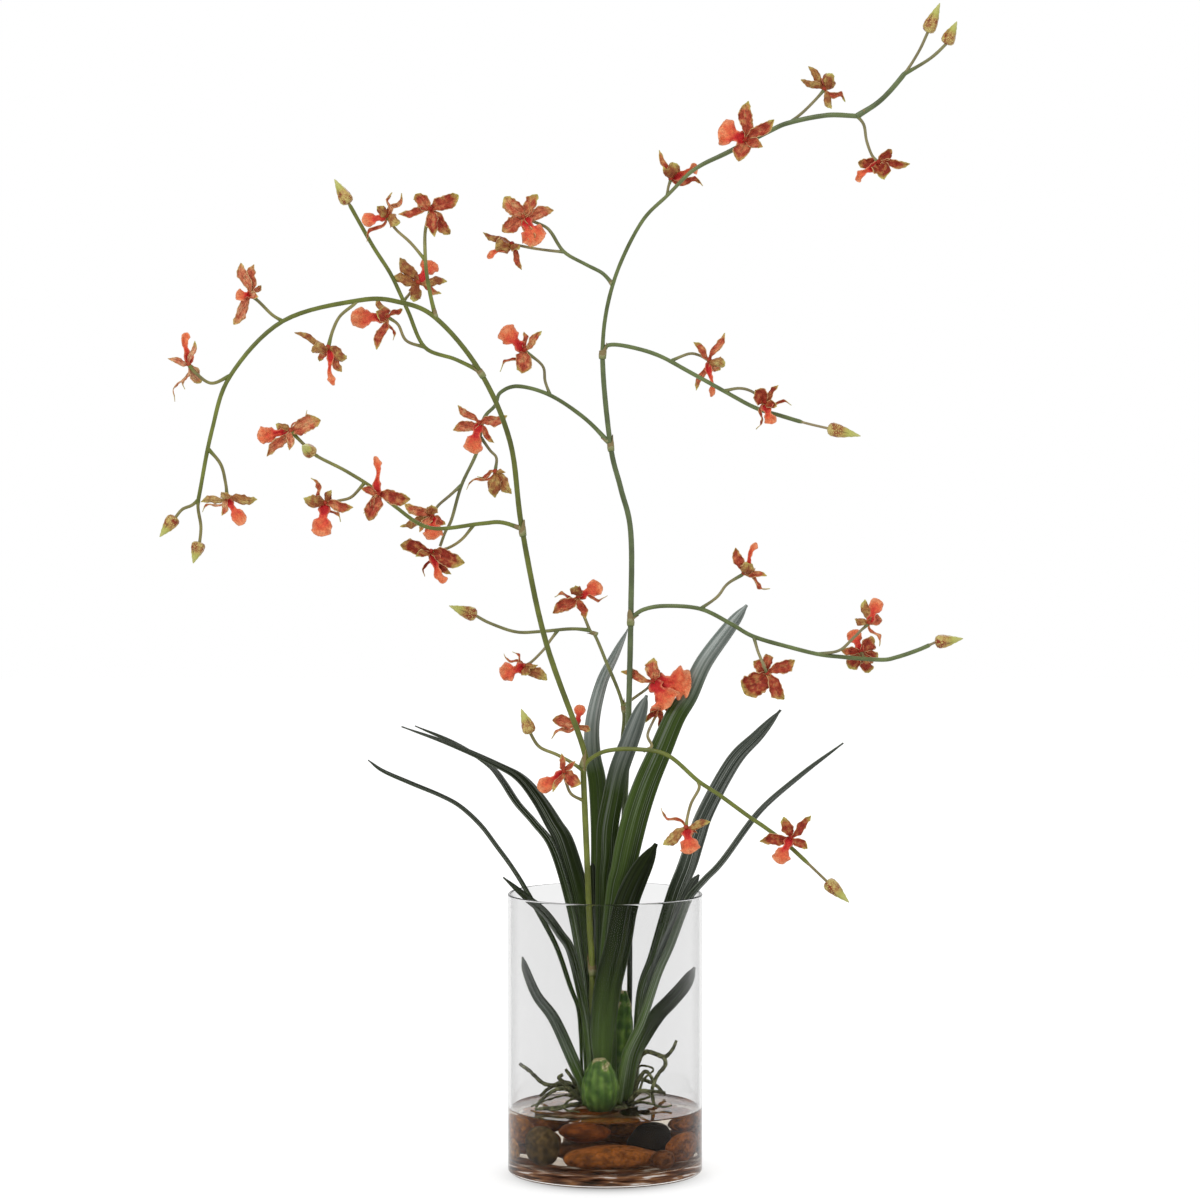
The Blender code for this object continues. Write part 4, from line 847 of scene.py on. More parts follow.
# What is added to the radius of a main wire, by the number of its point
gauge = {"stemRight": [(0, 0), (8.95, 0), (9.05, -0.4), (12, -0.4), (14.5, 0.2), (18, 0.45)]}
wire = {"parts": 8, "coat": 0.2, "forkCoat": 0.15, "fork": 1.25, "thinPast": 0.62, "footSwell": 0.25,
        "endSwell": 0.35, "intoBud": 0.06, "intoBloom": 0.92}
wireSweep = {"Step": 0.0016, "Sides": 14, "Lump size": 90.0, "Lump height": 0.0003}
bud = {"radius": 5.5, "stations": 22, "around": 30, "crease": 0.2, "lumps": 0.05}
bract = {"stations": 12, "around": 24, "thickness": 1.2, "size": (0.18, 0.18, 0.5)}


def wrappedWire():
    # plastic-dipped stem wire: green where it is thick, drab and paler in the fine branches
    material, tree, shader = newMaterial("dippedStemWire")
    place = addNode(tree, "ShaderNodeTexCoord").outputs["Object"]
    girth = addNode(tree, "ShaderNodeAttribute", attribute_name="girth").outputs["Fac"]
    tone = addNode(tree, "ShaderNodeAttribute", attribute_name="tone").outputs["Fac"]
    cloud = addNode(tree, "ShaderNodeTexNoise", {"Vector": place, "Scale": 60.0, "Detail": 4.0})
    thick = addNode(tree, "ShaderNodeMapRange", {"Value": girth, 1: 0.0009, 2: 0.0026, 3: 0.0, 4: 1.0})
    olive = addNode(tree, "ShaderNodeValToRGB", {"Fac": thick.outputs[0]}, stops=[
        (0.0, "#a89470"), (0.12, "#9a8c5e"), (0.35, "#737c36"), (0.7, "#656c2a"), (1.0, "#788235")])
    grey = addNode(tree, "ShaderNodeValToRGB", {"Fac": thick.outputs[0]}, stops=[
        (0.0, "#aa9878"), (0.12, "#958a62"), (0.35, "#6a7746"), (0.8, "#63704b")])
    look = addNode(tree, "ShaderNodeMix", {0: tone, 6: olive.outputs[0], 7: grey.outputs[0]},
                   data_type="RGBA")
    shade = addNode(tree, "ShaderNodeMapRange", {
        "Value": cloud.outputs["Fac"], 1: 0.35, 2: 0.65, 3: 0.66, 4: 1.16})
    colour = addNode(tree, "ShaderNodeVectorMath", {0: look.outputs[2], "Scale": shade.outputs[0]},
                     operation="SCALE")
    bump = addNode(tree, "ShaderNodeBump", {
        "Height": cloud.outputs["Fac"], "Strength": 0.15, "Distance": 0.0005})
    setInputs(tree, shader, {
        "Base Color": colour.outputs[0], "Roughness": 0.32, "Specular IOR Level": 0.3,
        "Normal": bump.outputs[0]})
    return material


def budSkin():
    # moulded plastic, sprayed: yellow-green with a red-brown net that thickens towards the foot
    material, tree, shader = newMaterial("mouldedBudSkin")
    place = addNode(tree, "ShaderNodeTexCoord").outputs["Object"]
    along = addNode(tree, "ShaderNodeAttribute", attribute_name="along").outputs["Fac"]
    seam = addNode(tree, "ShaderNodeAttribute", attribute_name="seam").outputs["Fac"]
    net = addNode(tree, "ShaderNodeTexVoronoi", {"Vector": place, "Scale": 620.0}, feature="DISTANCE_TO_EDGE")
    blotch = addNode(tree, "ShaderNodeTexNoise", {"Vector": place, "Scale": 230.0, "Detail": 3.0})
    body = addNode(tree, "ShaderNodeValToRGB", {"Fac": along}, stops=[
        (0.0, "#cfc27a"), (0.15, "#d2c474"), (0.4, "#cfb268"), (0.62, "#bcbb60"), (1.0, "#c4c47c")])
    line = addNode(tree, "ShaderNodeMapRange", {
        "Value": net.outputs["Distance"], 1: 0.14, 2: 0.28, 3: 1.0, 4: 0.0})
    low = addNode(tree, "ShaderNodeMapRange", {"Value": along, 1: 0.42, 2: 0.66, 3: 1.0, 4: 0.0})
    broken = addNode(tree, "ShaderNodeMapRange", {
        "Value": blotch.outputs["Fac"], 1: 0.35, 2: 0.6, 3: 0.15, 4: 1.0})
    much = addNode(tree, "ShaderNodeMath", {0: line.outputs[0], 1: low.outputs[0]}, operation="MULTIPLY")
    some = addNode(tree, "ShaderNodeMath", {0: much.outputs[0], 1: broken.outputs[0]}, operation="MULTIPLY")
    crease = addNode(tree, "ShaderNodeMapRange", {"Value": seam, 1: 0.72, 2: 1.0, 3: 0.0, 4: 0.75})
    colour = body.outputs[0]
    for share, laid in ((some, "#8a3014"), (crease, "#5c3d22")):
        colour = addNode(tree, "ShaderNodeMix", {0: share.outputs[0], 6: colour, 7: linear(laid)},
                         data_type="RGBA").outputs[2]
    setInputs(tree, shader, {"Base Color": colour, "Roughness": 0.38, "Specular IOR Level": 0.3})
    return material


def bractHusk():
    # thin polyester bract, papery beige with brown edges
    material, tree, shader = newMaterial("polyesterBract")
    place = addNode(tree, "ShaderNodeTexCoord").outputs["Object"]
    along = addNode(tree, "ShaderNodeAttribute", attribute_name="along").outputs["Fac"]
    cloud = addNode(tree, "ShaderNodeTexNoise", {"Vector": place, "Scale": 300.0, "Detail": 3.0})
    both = addNode(tree, "ShaderNodeMath", {0: cloud.outputs["Fac"], 1: along}, operation="ADD")
    colour = addNode(tree, "ShaderNodeValToRGB", {"Fac": both.outputs[0]}, stops=[
        (0.35, "#5f6c38"), (0.65, "#7f8450"), (0.95, "#99956c"), (1.0, "#85744a")])
    setInputs(tree, shader, {"Base Color": colour.outputs[0], "Roughness": 0.6})
    return material


def sowTree():
    # sets a template on each point, its +Z turned to the point's aim and its size taken from the point
    tree, given = startTree("sowTemplate", Template="Object")
    aim, size = (addNode(tree, "GeometryNodeInputNamedAttribute", {"Name": name}, data_type="FLOAT_VECTOR")
                 for name in ("aim", "size"))
    spin = addNode(tree, "GeometryNodeInputNamedAttribute", {"Name": "spin"}, data_type="FLOAT")
    upright = addNode(tree, "FunctionNodeAlignRotationToVector", {"Vector": aim.outputs[0]}, axis="Z")
    about = addNode(tree, "FunctionNodeAxisAngleToRotation", {"Axis": (0, 0, 1), "Angle": spin.outputs[0]})
    turned = addNode(tree, "FunctionNodeRotateRotation", {
        "Rotation": upright.outputs[0], "Rotate By": about.outputs[0]}, rotation_space="LOCAL")
    template = addNode(tree, "GeometryNodeObjectInfo", {"Object": given["Template"]})
    sown = addNode(tree, "GeometryNodeInstanceOnPoints", {
        "Points": given["Geometry"], "Instance": template.outputs["Geometry"],
        "Rotation": turned.outputs[0], "Scale": size.outputs[0]})
    return endTree(tree, sown.outputs[0], given["Finish"])


def sow(name, tree, template, spots, material):
    # spots: a place and an aim in millimetres, a size as three factors, and a spin in degrees
    mesh = bpy.data.meshes.new(name)
    mesh.from_pydata([tuple(spot[0] * mm) for spot in spots], [], [])
    for attribute, column in (("aim", 1), ("size", 2)):
        layer = mesh.attributes.new(attribute, "FLOAT_VECTOR", "POINT")
        layer.data.foreach_set("vector", [value for spot in spots for value in spot[column]])
    spins = mesh.attributes.new("spin", "FLOAT", "POINT")
    spins.data.foreach_set("value", [math.radians(spot[3]) for spot in spots])
    obj = bpy.data.objects.new(name, mesh)
    scene.collection.objects.link(obj)
    grow(obj, tree, {"Template": template, "Finish": material})
    bpy.data.objects.remove(template)
    return obj


def budTemplate(material):
    # three sepals pressed together, with a seam between each pair and a pointed tip; both templates are
    # 10 mm in radius and about 10 mm long, and are scaled where they are sown
    outline = [(0, 0.42), (0.05, 0.8), (0.14, 1), (0.3, 0.98), (0.5, 0.78), (0.7, 0.5), (0.88, 0.24),
               (1, 0.06)]
    rings, seams = [], []
    for i in range(bud["stations"] + 1):
        t = i / bud["stations"]
        ring, seam = [], []
        for k in range(bud["around"]):
            angle = 2 * math.pi * k / bud["around"]
            out = Vector((math.cos(angle), math.sin(angle), 0))
            seam.append(abs(math.cos(1.5 * angle)) ** 6 * math.sin(math.pi * min(t * 1.05, 1)))
            lump = bud["lumps"] * noise.noise(out + Vector((0, 0, t * 3)))
            reach = eased(outline, t) * (1 - bud["crease"] * seam[k] + lump)
            ring.append((out * reach + Vector((0, 0, t))) * 10)
        rings.append(ring)
        seams.append(seam)
    shape = Shape("along", "seam")
    shape.addRings(rings, lambda i, k: {"along": i / bud["stations"], "seam": seams[i][k]})
    return shape.toObject("budTemplate", material)


def bractTemplate(material):
    # a sleeve round the stem, opening into a bent tip on its +X side
    rows = []
    for i in range(bract["stations"] + 1):
        t = i / bract["stations"]
        row = []
        for k in range(bract["around"] + 1):
            # the sleeve stops just short of closing, so that its two edges don't meet
            angle = (2 * k / bract["around"] - 1) * math.pi * 0.985
            side = max(math.cos(angle), 0) ** 2
            radius = 10 * (1 + 0.12 * math.sin(math.pi * min(t * 1.4, 1)) + 0.3 * t * t * side)
            row.append(Vector((math.cos(angle) * radius, math.sin(angle) * radius, -4 + t * (7 + 7 * side))))
        rows.append(row)
    shape = Shape("along")
    shape.addSheet(rows, bract["thickness"], lambda i, j: {"along": i / bract["stations"]})
    return shape.toObject("bractTemplate", material)


def wireRadii(stem, number, start, end, ending, last):
    # number 0 is the stem itself and the others are its branches, swollen where they leave it
    radii = []
    for i in range(last + 1):
        t = i / last
        radius = start + (end - start) * t + (wire["coat"] if number else 0)
        if start > wire["fork"] and isinstance(ending, tuple):
            # a forking branch goes thin and pale before its bud
            thinPast = ending[3] if len(ending) > 3 else wire["thinPast"]
            radius = start + wire["forkCoat"] if t < thinPast else end
        if number:
            radius *= 1 + wire["footSwell"] * math.exp(-(i / 3) ** 2)
        elif stem in gauge:
            radius += eased(gauge[stem], i / wire["parts"])
        if ending:
            radius *= 1 + wire["endSwell"] * math.exp(-((last - i) / 4) ** 2)
        radii.append(radius)
    return radii


def makeStems(sweep):
    material = wrappedWire()
    buds, bracts = [], []
    chance = random.Random(11)
    for stem, routes in (("stemLeft", stemLeft), ("stemRight", stemRight), ("stemMiddle", stemMiddle)):
        wires = []
        for number, (start, end, points, ending) in enumerate(routes):
            points = [Vector(p) for p in points]
            if isinstance(ending, str):
                points.append(points[-1].lerp(Vector(flowers[ending][2]), wire["intoBloom"]))
            if isinstance(ending, tuple):
                aim = Vector(ending[:3]) - points[-1]
                size = (bud["radius"] / 10, bud["radius"] / 10, aim.length / 10)
                buds.append((points[-1] - aim * 0.02, aim, size, chance.uniform(0, 360)))
                points.append(points[-1] + aim * wire["intoBud"])
            route = smoothRoute(points, wire["parts"])
            radii = wireRadii(stem, number, start, end, ending, len(route) - 1)
            wires.append((route, radii, stemLook[stem]))
            if number and start > wire["fork"]:
                bracts.append((route[1], route[3] - route[1], bract["size"], chance.uniform(0, 360)))
            for at, radius, tip in ([] if number else sheaths[stem]):
                k = round(at * wire["parts"])
                along = (route[k + 2] - route[k - 2]).normalized()
                size = (radius / 10, radius / 10, tip / 10)
                bracts.append((route[k] - along * 2, along, size, chance.uniform(0, 360)))
        obj = grow(wireObject("wires" + stem[4:], wires), sweep, {**wireSweep, "Finish": material})
        finishPiece(obj, "stem_green", "flower_stem_" + stem[4:].lower())
    sowing = sowTree()
    skin, husk = budSkin(), bractHusk()
    finishPiece(sow("buds", sowing, budTemplate(skin), buds, skin), "stem_green")
    finishPiece(sow("bracts", sowing, bractTemplate(husk), bracts, husk), "stem_green")
    print("stems grown,", len(buds), "buds")


# Flowers: a letter for each blade, how pale it is, the centre, then each blade as its reach (x, y, z) and
# width. L is a fan lip, N a narrow lip, F a pointed tepal, R a broad one, B one seen from behind, C one
# rolled back, T a withered strip.

flowers = {
    "flower_01": ("NFFRTT", 0.9, (-314, -86, 628), [(-2, -4, 24, 7), (6, -4, 18, 3.5),
        (-14, -8, 4.5, 4.5), (8, 8, -13.5, 7.5), (-4.5, 8, -17.5, 3), (-12, 4, -27, 2)]),
    "flower_02": ("LFFFFR", 0.8, (-268, -78, 681), [(-10, -10, -1, 9), (-8, 2, 24, 7.5),
        (2, 4, 22.5, 8), (7, 8, 6, 5), (7.5, -7, -2, 5.5), (-12, -2, -23, 7)]),
    "flower_03": ("NBCCFF", 0.5, (-210, -70, 641), [(4, -4, -28.5, 5.5), (-25, -2, 12, 4.5),
        (-12, -10, -2, 8.5), (14, -6, -9, 7.5), (9.5, 8, -18.5, 6), (-7, 8, -9.5, 4.5)]),
    "flower_04": ("LRFTFB", 0.4, (-166, -48, 665), [(-28, -3, -1, 15), (-8, -8, 4, 10),
        (-9, -2, -25, 6.5), (5, 4, -17, 3), (11, 5, 6, 4.5), (-9, 10, 14, 4.5)]),
    "flower_05": ("LTTCTB", 0.6, (-166, -52, 741), [(-19, -4, -3.5, 10), (3.5, -2, 18.5, 4),
        (12, 2, 17, 4), (9.5, -7, -6, 8), (-17, 3, -18, 3), (-7.5, -8, 8, 6.5)]),
    "flower_06": ("FRRFR", 0.35, (-133, -54, 746), [(-24, -2, -4, 6), (-11, -3, 12, 9.5),
        (22, -2, 10.5, 10), (3, -9, -21, 9), (14.5, 2, -18.5, 8.5)]),
    "flower_07": ("LBBBBF", 0.5, (-143, -40, 691), [(11, 8, 17, 14), (-14.5, 2, 19, 8),
        (-20, -2, 5, 7.5), (-3, -8, -14.5, 9), (22, 3, 2, 6.5), (17, 6, -8, 4.5)]),
    "flower_08": ("LBBBTF", 0.8, (-285, -91, 527), [(13, -6, -19, 10), (-2, -11, 6, 8),
        (22.5, 2, -1, 7), (-20, 3, -2, 5.5), (-20, 8, -9, 2), (-3, -6, -13, 4.5)]),
    "flower_09": ("LRTBFF", 0.75, (-239, -66, 578), [(-25, -3, -4.5, 12.5), (22.5, -3, 8.5, 11),
        (13, 5, 15, 2), (-11, -4, 5, 6.5), (-18, -4, -18.5, 7.5), (0, -8, -14, 5.5)]),
    "flower_10": ("LBTBFT", 0.35, (-213, -62, 523), [(-3.5, -5, -25, 15), (-15, -8, 3.5, 9.5),
        (-10, 2, 20, 4.5), (4.5, -6, 10, 5.5), (22, -9, -3.5, 7.5), (12, 3, -13.5, 2.5)]),
    "flower_11": ("NRRFT", 0.35, (-172, -65, 530), [(-2, -4, 29, 6), (23.5, -5, -4, 9.5),
        (-8, -4, -19.5, 10), (-13, -3, 4.5, 5.5), (-11, 1, -15, 3.5)]),
    "flower_12": ("LRBBFF", 0.55, (-135, 6, 512), [(1.5, -10, -18, 14.5), (-21, -3, 8.5, 7),
        (0.5, -8, 8, 8.5), (-24, 4, -9, 6.5), (10.5, 0, -7, 5.5), (-9.5, -8, -12, 5.5)]),
    "flower_13": ("NRRFFT", 0.15, (-134, -30, 485), [(9.5, -6, -24, 9), (-23.5, -2, 6, 9.5),
        (25, -6, -8.5, 11), (15, 4, -18, 5.5), (-12, -8, -3, 5.5), (-6, 3, -18.5, 2.5)]),
    "flower_14": ("LFFFF", 0.65, (-98, 10, 584), [(-5.5, -7, -23, 14), (-17, 1, 13.5, 5.5),
        (-20.5, -4, -5, 8), (22, -3, 5.5, 8.5), (11, 0, -15.5, 4.5)]),
    "flower_15": ("LTTBBB", 0.6, (-86, 22, 546), [(3, 14, -10, 8), (-14, -4, -4.5, 3.5),
        (-23, 2, -12, 2.5), (-0.5, -5, -19.5, 10), (12, -3, -17, 8.5), (8, -7, 0, 3.5)]),
    "flower_16": ("LFFRT", 0.55, (-63, 35, 641), [(-17.5, -4, 17.5, 15.5), (-0.5, 3, 15, 4),
        (13, -4, 15.5, 5.5), (-2, -6, -18.5, 11.5), (-20.5, 2, -15.5, 3)]),
    "flower_17": ("LRRFRF", 0.6, (-64, 32, 745), [(12, -9, -21, 19), (-15, -2, 15.5, 11),
        (11, -3, 18, 8.5), (23.5, -2, 6, 9), (-16, -4, -11, 10.5), (8, -8, -23.5, 6.5)]),
    "flower_18": ("NBCFC", 0.4, (-73, 36, 724), [(-19.5, -3, -10, 5.5), (-23, 2, 9, 5),
        (-13, -8, -3, 11.5), (7, 3, -19.5, 4.5), (6, -9, -4, 6.5)]),
    "flower_19": ("NFCTB", 0.35, (51, 8, 773), [(20.5, -3, 10.5, 8.5), (-9.5, -2, 22.5, 4),
        (1.5, -8, 12.5, 9), (25.5, 4, -3, 5), (-6, -8, 9, 4)]),
    "flower_20": ("LFFRF", 0.5, (108, -23, 801), [(-21, -5, 8, 19.5), (1, -2, 30, 10),
        (22, -3, 15, 8.5), (-6, -6, -16, 11), (12.5, -6, -5, 7.5)]),
    "flower_21": ("LBBCTB", 0.5, (169, -8, 841), [(2, 16, 8, 10), (-12, -2, 18, 5.5), (-18, -3, 7, 5.5),
        (5, -6, 12, 10), (17, 2, -8, 5), (5, -4, -15.5, 5.5)]),
    "flower_22": ("NRRFR", 0.1, (209, -34, 783), [(-18, -4, -13, 7.5), (-15, 3, 0, 7.5),
        (4, -8, -12, 11.5), (24, -2, -1.5, 6), (10, -2, 10, 6.5)]),
    "flower_23": ("NFFCFF", 0.6, (81, 12, 633), [(2, -3, -28.5, 5.5), (-12, -4, 14.5, 5.5),
        (12.5, -2, 21, 5.5), (12, -8, -4, 7.5), (-10.5, 3, -23, 4.5), (9, 4, -8, 6)]),
    "flower_24": ("NRFTRT", 0.2, (123, -21, 600), [(5.5, -5, -16.5, 10), (-8, -8, 10, 10.5),
        (10, -3, 13.5, 4.5), (20.5, 2, -1, 2.5), (9, -8, -3, 5.5), (-6, 0, -21, 2.5)]),
    "flower_25": ("NFCFT", 0.6, (108, 4, 467), [(9, -3, 24.5, 5.5), (-7, -3, 20, 7.5), (4, -10, 8, 10),
        (18, -3, -1, 4.5), (19.5, 3, -13, 4.5)]),
    "flower_26": ("LBBTF", 0.6, (203, -32, 430), [(7, -4, 19, 10.5), (-4, -3, 19, 6.5),
        (-12, -6, 3.5, 5.5), (9, -3, -17, 3), (10, 6, 4, 7)]),
    "flower_27": ("LFRRRR", 0.3, (198, -18, 407), [(-7, 4, 17, 11.5), (-16, 0, 1.5, 6.5),
        (-9, 4, -12.5, 10), (6.5, 4, -16, 9.5), (13, 5, -5, 8.5), (9.5, 6, 11, 10)]),
    "flower_28": ("RFFFF", 0.3, (125, -22, 391), [(-17.5, 2, -16, 17), (-10, 2, 9.5, 8.5),
        (0, 6, 15, 7.5), (21.5, 3, 9.5, 9.5), (13, 3, -21, 10)]),
    "flower_29": ("LBFTFT", 0.4, (-21, 22, 448), [(18, -5, 10, 12.5), (-2.5, -10, 10, 8),
        (-20, -3, -12, 9.5), (-18.5, 3, 1, 3.5), (6.5, -5, -17, 6.5), (22.5, 3, 0, 2.5)]),
    "flower_30": ("LTTBBB", 0.55, (-63, 16, 394), [(-19, -4, -6, 14.5), (-17, 3, 9, 2.5),
        (-9, 2, 12, 2), (17.5, -5, -10, 8.5), (9.5, -7, 1, 4.5), (1, -9, -7, 7.5)]),
    "flower_31": ("LRTF", 0.6, (-22, -3, 350), [(3, 3, 15, 8.5), (-19, -2, 4, 8.5), (-20, 3, -10, 3.5),
        (10, 5, -5, 5)]),
    "flower_32": ("LFFFR", 0.5, (-32, -27, 315), [(-19.5, -5, -13.5, 11.5), (-1.5, -3, 14.5, 4.5),
        (-9, -8, -15, 4), (9, -4, 8.5, 4.5), (13, -3, -9.5, 9.5)]),
    "flower_33": ("LFFTL", 0.5, (37, 4, 383), [(30, -3, -2, 24), (0.5, -3, 18.5, 10.5),
        (-23, 15, 7, 6.5), (0, 3, -8, 3.5), (13, -10, -19, 21)]),
    "flower_34": ("LFFR", 0.3, (44, 10, 363), [(-8, -3, -6, 8.5), (-13, -2, -12, 4), (-2, -8, -21, 5.5),
        (12, 1, 1, 8.5)]),
    "flower_35": ("LBBTF", 0.6, (62, -50, 274), [(3.5, -7, -19, 14.5), (-17.5, -3, -13, 8),
        (18.5, -3, 5.5, 5.5), (-20, 3, 14, 3), (7, 9, -5, 6)]),
    "flower_36": ("LFFFF", 0.2, (141, -74, 269), [(-10, -5, -19, 12.5), (-23.5, -3, -2, 8.5),
        (-6, -3, 16, 8.5), (15, -2, 17, 6.5), (13, -1, -8, 6.5)]),
}

petal = {"stations": 36, "across": 14, "thickness": 0.4, "fullness": 1.1, "lean": 14, "hook": 0.14,
         "hookPast": 0.7, "hookRise": 11, "torn": 0.14, "frayed": 0.035, "lipTorn": 0.4, "lumps": 0.7,
         "crease": 0.07}
column = {"radius": 2.2, "stations": 8, "around": 14}

# kinds of blade: the half width along it, cup across, bow along, ruffle of its edge, twist in degrees, sway
bladeKinds = {
    "F": ([(0, 0.26), (0.13, 0.4), (0.32, 0.84), (0.52, 1), (0.7, 0.93), (0.85, 0.62), (0.95, 0.26),
           (1, 0.04)], 0.5, 0.14, 0.34, 28, 0.04),
    "R": ([(0, 0.28), (0.12, 0.5), (0.3, 0.94), (0.52, 1.02), (0.72, 0.98), (0.87, 0.74), (0.95, 0.4),
           (1, 0.08)], 0.45, 0.12, 0.36, 20, 0.03),
    "B": ([(0, 0.26), (0.13, 0.42), (0.32, 0.86), (0.52, 1), (0.7, 0.92), (0.85, 0.6), (0.95, 0.26),
           (1, 0.04)], -0.5, 0.14, 0.34, 24, 0.04),
    "C": ([(0, 0.3), (0.15, 0.55), (0.36, 0.95), (0.6, 1.05), (0.78, 0.9), (0.9, 0.55), (1, 0.06)],
          -0.9, 0.18, 0.4, 35, 0.07),
    "T": ([(0, 0.4), (0.2, 0.6), (0.45, 1), (0.65, 0.85), (0.82, 0.5), (0.93, 0.24), (1, 0.08)],
          0.6, 0.16, 0.6, 90, 0.1),
    "L": ([(0, 0.28), (0.08, 0.55), (0.22, 0.66), (0.34, 0.42), (0.44, 0.44), (0.56, 0.86), (0.7, 1.06),
           (0.84, 1.02), (0.93, 0.78), (0.98, 0.45), (1, 0.2)], -0.2, 0.14, 0.42, 12, 0.0),
    "N": ([(0, 0.4), (0.1, 0.9), (0.27, 1.1), (0.42, 0.62), (0.55, 0.45), (0.7, 0.7), (0.84, 1.0),
           (0.95, 0.75), (1, 0.3)], 0.4, 0.1, 0.55, 25, 0.04),
}


def petalPolyester():
    # printed polyester cloth, heat-curled: mottled rust tepals, olive backs, green tips and orange-red lips
    material, tree, shader = newMaterial("printedPetalPolyester")
    place = addNode(tree, "ShaderNodeTexCoord").outputs["Object"]
    along, edge, isLip, back, tone, tip, lane, reach = (
        addNode(tree, "ShaderNodeAttribute", attribute_name=name).outputs["Fac"]
        for name in ("along", "edge", "lip", "back", "tone", "tip", "lane", "reach"))
    drawn = addNode(tree, "ShaderNodeMath", {0: reach, 1: 0.22}, operation="MULTIPLY")
    lanes = addNode(tree, "ShaderNodeCombineXYZ", {"X": lane, "Y": drawn.outputs[0]})
    vein, cloud, speck = (
        addNode(tree, "ShaderNodeTexNoise", {"Vector": at, "Scale": scale, "Detail": detail}).outputs["Fac"]
        for at, scale, detail in ((lanes.outputs[0], 1.5, 3.0), (place, 210.0, 4.0), (place, 800.0, 2.0)))
    # the fourth and fifth of these are painted shade: along the midrib fold and in a band just inside the
    # edge
    drift, mark, foot, crease, edgeShade, lipRim, grain = (
        addNode(tree, "ShaderNodeMapRange", {"Value": value, 1: low, 2: high, 3: start, 4: end}).outputs[0]
        for value, low, high, start, end in (
            (cloud, 0.34, 0.66, -0.28, 0.28), (vein, 0.36, 0.5, 0.65, 0.0), (along, 0.0, 0.3, 0.45, 0.0),
            (edge, 0.0, 0.14, 0.45, 0.0), (edge, 0.66, 0.84, 0.0, 0.4), (edge, 0.6, 1.0, 0.0, 0.55),
            (speck, 0.3, 0.7, 0.8, 1.18)))

    # tepals: darker or paler by tone and cloud, dark veins, painted shade along the midrib fold and in a band
    # just inside the edge, a pale rim, rusty foot and yellow-green tip
    pale = addNode(tree, "ShaderNodeMath", {0: tone, 1: drift}, operation="ADD")
    front = addNode(tree, "ShaderNodeValToRGB", {"Fac": pale.outputs[0]}, stops=[
        (0.0, "#95301f"), (0.3, "#b64c34"), (0.6, "#d1704f"), (0.85, "#e2906a"), (1.0, "#ecae8c")])
    rear = addNode(tree, "ShaderNodeValToRGB", {"Fac": pale.outputs[0]}, stops=[
        (0.0, "#803a22"), (0.35, "#9a5a34"), (0.65, "#b08048"), (1.0, "#c9ab70")])
    rimAt = addNode(tree, "ShaderNodeMath", {0: drift, 1: 0.2, 2: edge}, operation="MULTIPLY_ADD")
    rim = addNode(tree, "ShaderNodeMapRange", {"Value": rimAt.outputs[0], 1: 0.88, 2: 0.98, 3: 0.0, 4: 0.9})
    tipAt = addNode(tree, "ShaderNodeMath", {0: edge, 1: 0.12, 2: along}, operation="MULTIPLY_ADD")
    green = addNode(tree, "ShaderNodeMapRange", {"Value": tipAt.outputs[0], 1: 0.78, 2: 1.05, 3: 0.0, 4: 1.0})
    mottled = addNode(tree, "ShaderNodeMath", {0: green.outputs[0], 1: drift}, operation="ADD")
    tipped = addNode(tree, "ShaderNodeMath", {0: mottled.outputs[0], 1: tip}, operation="MULTIPLY")
    tepal = front.outputs[0]
    for share, laid in (
            (back, rear.outputs[0]), (mark, linear("#7a2f1d")), (foot, linear("#8e3a22")),
            (crease, linear("#6e2818")), (edgeShade, linear("#6e2818")), (rim.outputs[0], linear("#e0b483")),
            (tipped.outputs[0], linear("#cdc86e"))):
        tepal = addNode(tree, "ShaderNodeMix", {0: share, 6: tepal, 7: laid}, data_type="RGBA").outputs[2]

    # lips: deep red in the throat, coral orange in the fan, a paler edge
    throatAt = addNode(tree, "ShaderNodeMath", {0: drift, 1: 0.6, 2: along}, operation="MULTIPLY_ADD")
    throat = addNode(tree, "ShaderNodeValToRGB", {"Fac": throatAt.outputs[0]}, stops=[
        (0.05, "#b0181f"), (0.32, "#cf2c2b"), (0.5, "#e1553d"), (0.75, "#ec764b"), (1.0, "#f29a6c")])
    faint = addNode(tree, "ShaderNodeMath", {0: mark, 1: 0.55}, operation="MULTIPLY")
    lip = throat.outputs[0]
    for share, laid in ((faint.outputs[0], linear("#bf3428")), (lipRim, linear("#f7b285"))):
        lip = addNode(tree, "ShaderNodeMix", {0: share, 6: lip, 7: laid}, data_type="RGBA").outputs[2]

    chosen = addNode(tree, "ShaderNodeMix", {0: isLip, 6: tepal, 7: lip}, data_type="RGBA")
    colour = addNode(tree, "ShaderNodeVectorMath", {0: chosen.outputs[2], "Scale": grain}, operation="SCALE")
    raised = addNode(tree, "ShaderNodeMath", {0: vein, 1: cloud}, operation="ADD")
    bump = addNode(tree, "ShaderNodeBump", {
        "Height": raised.outputs[0], "Strength": 0.55, "Distance": 0.0008})
    setInputs(tree, shader, {
        "Base Color": colour.outputs[0], "Roughness": 0.5, "Specular IOR Level": 0.2,
        "Normal": bump.outputs[0]})
    return material


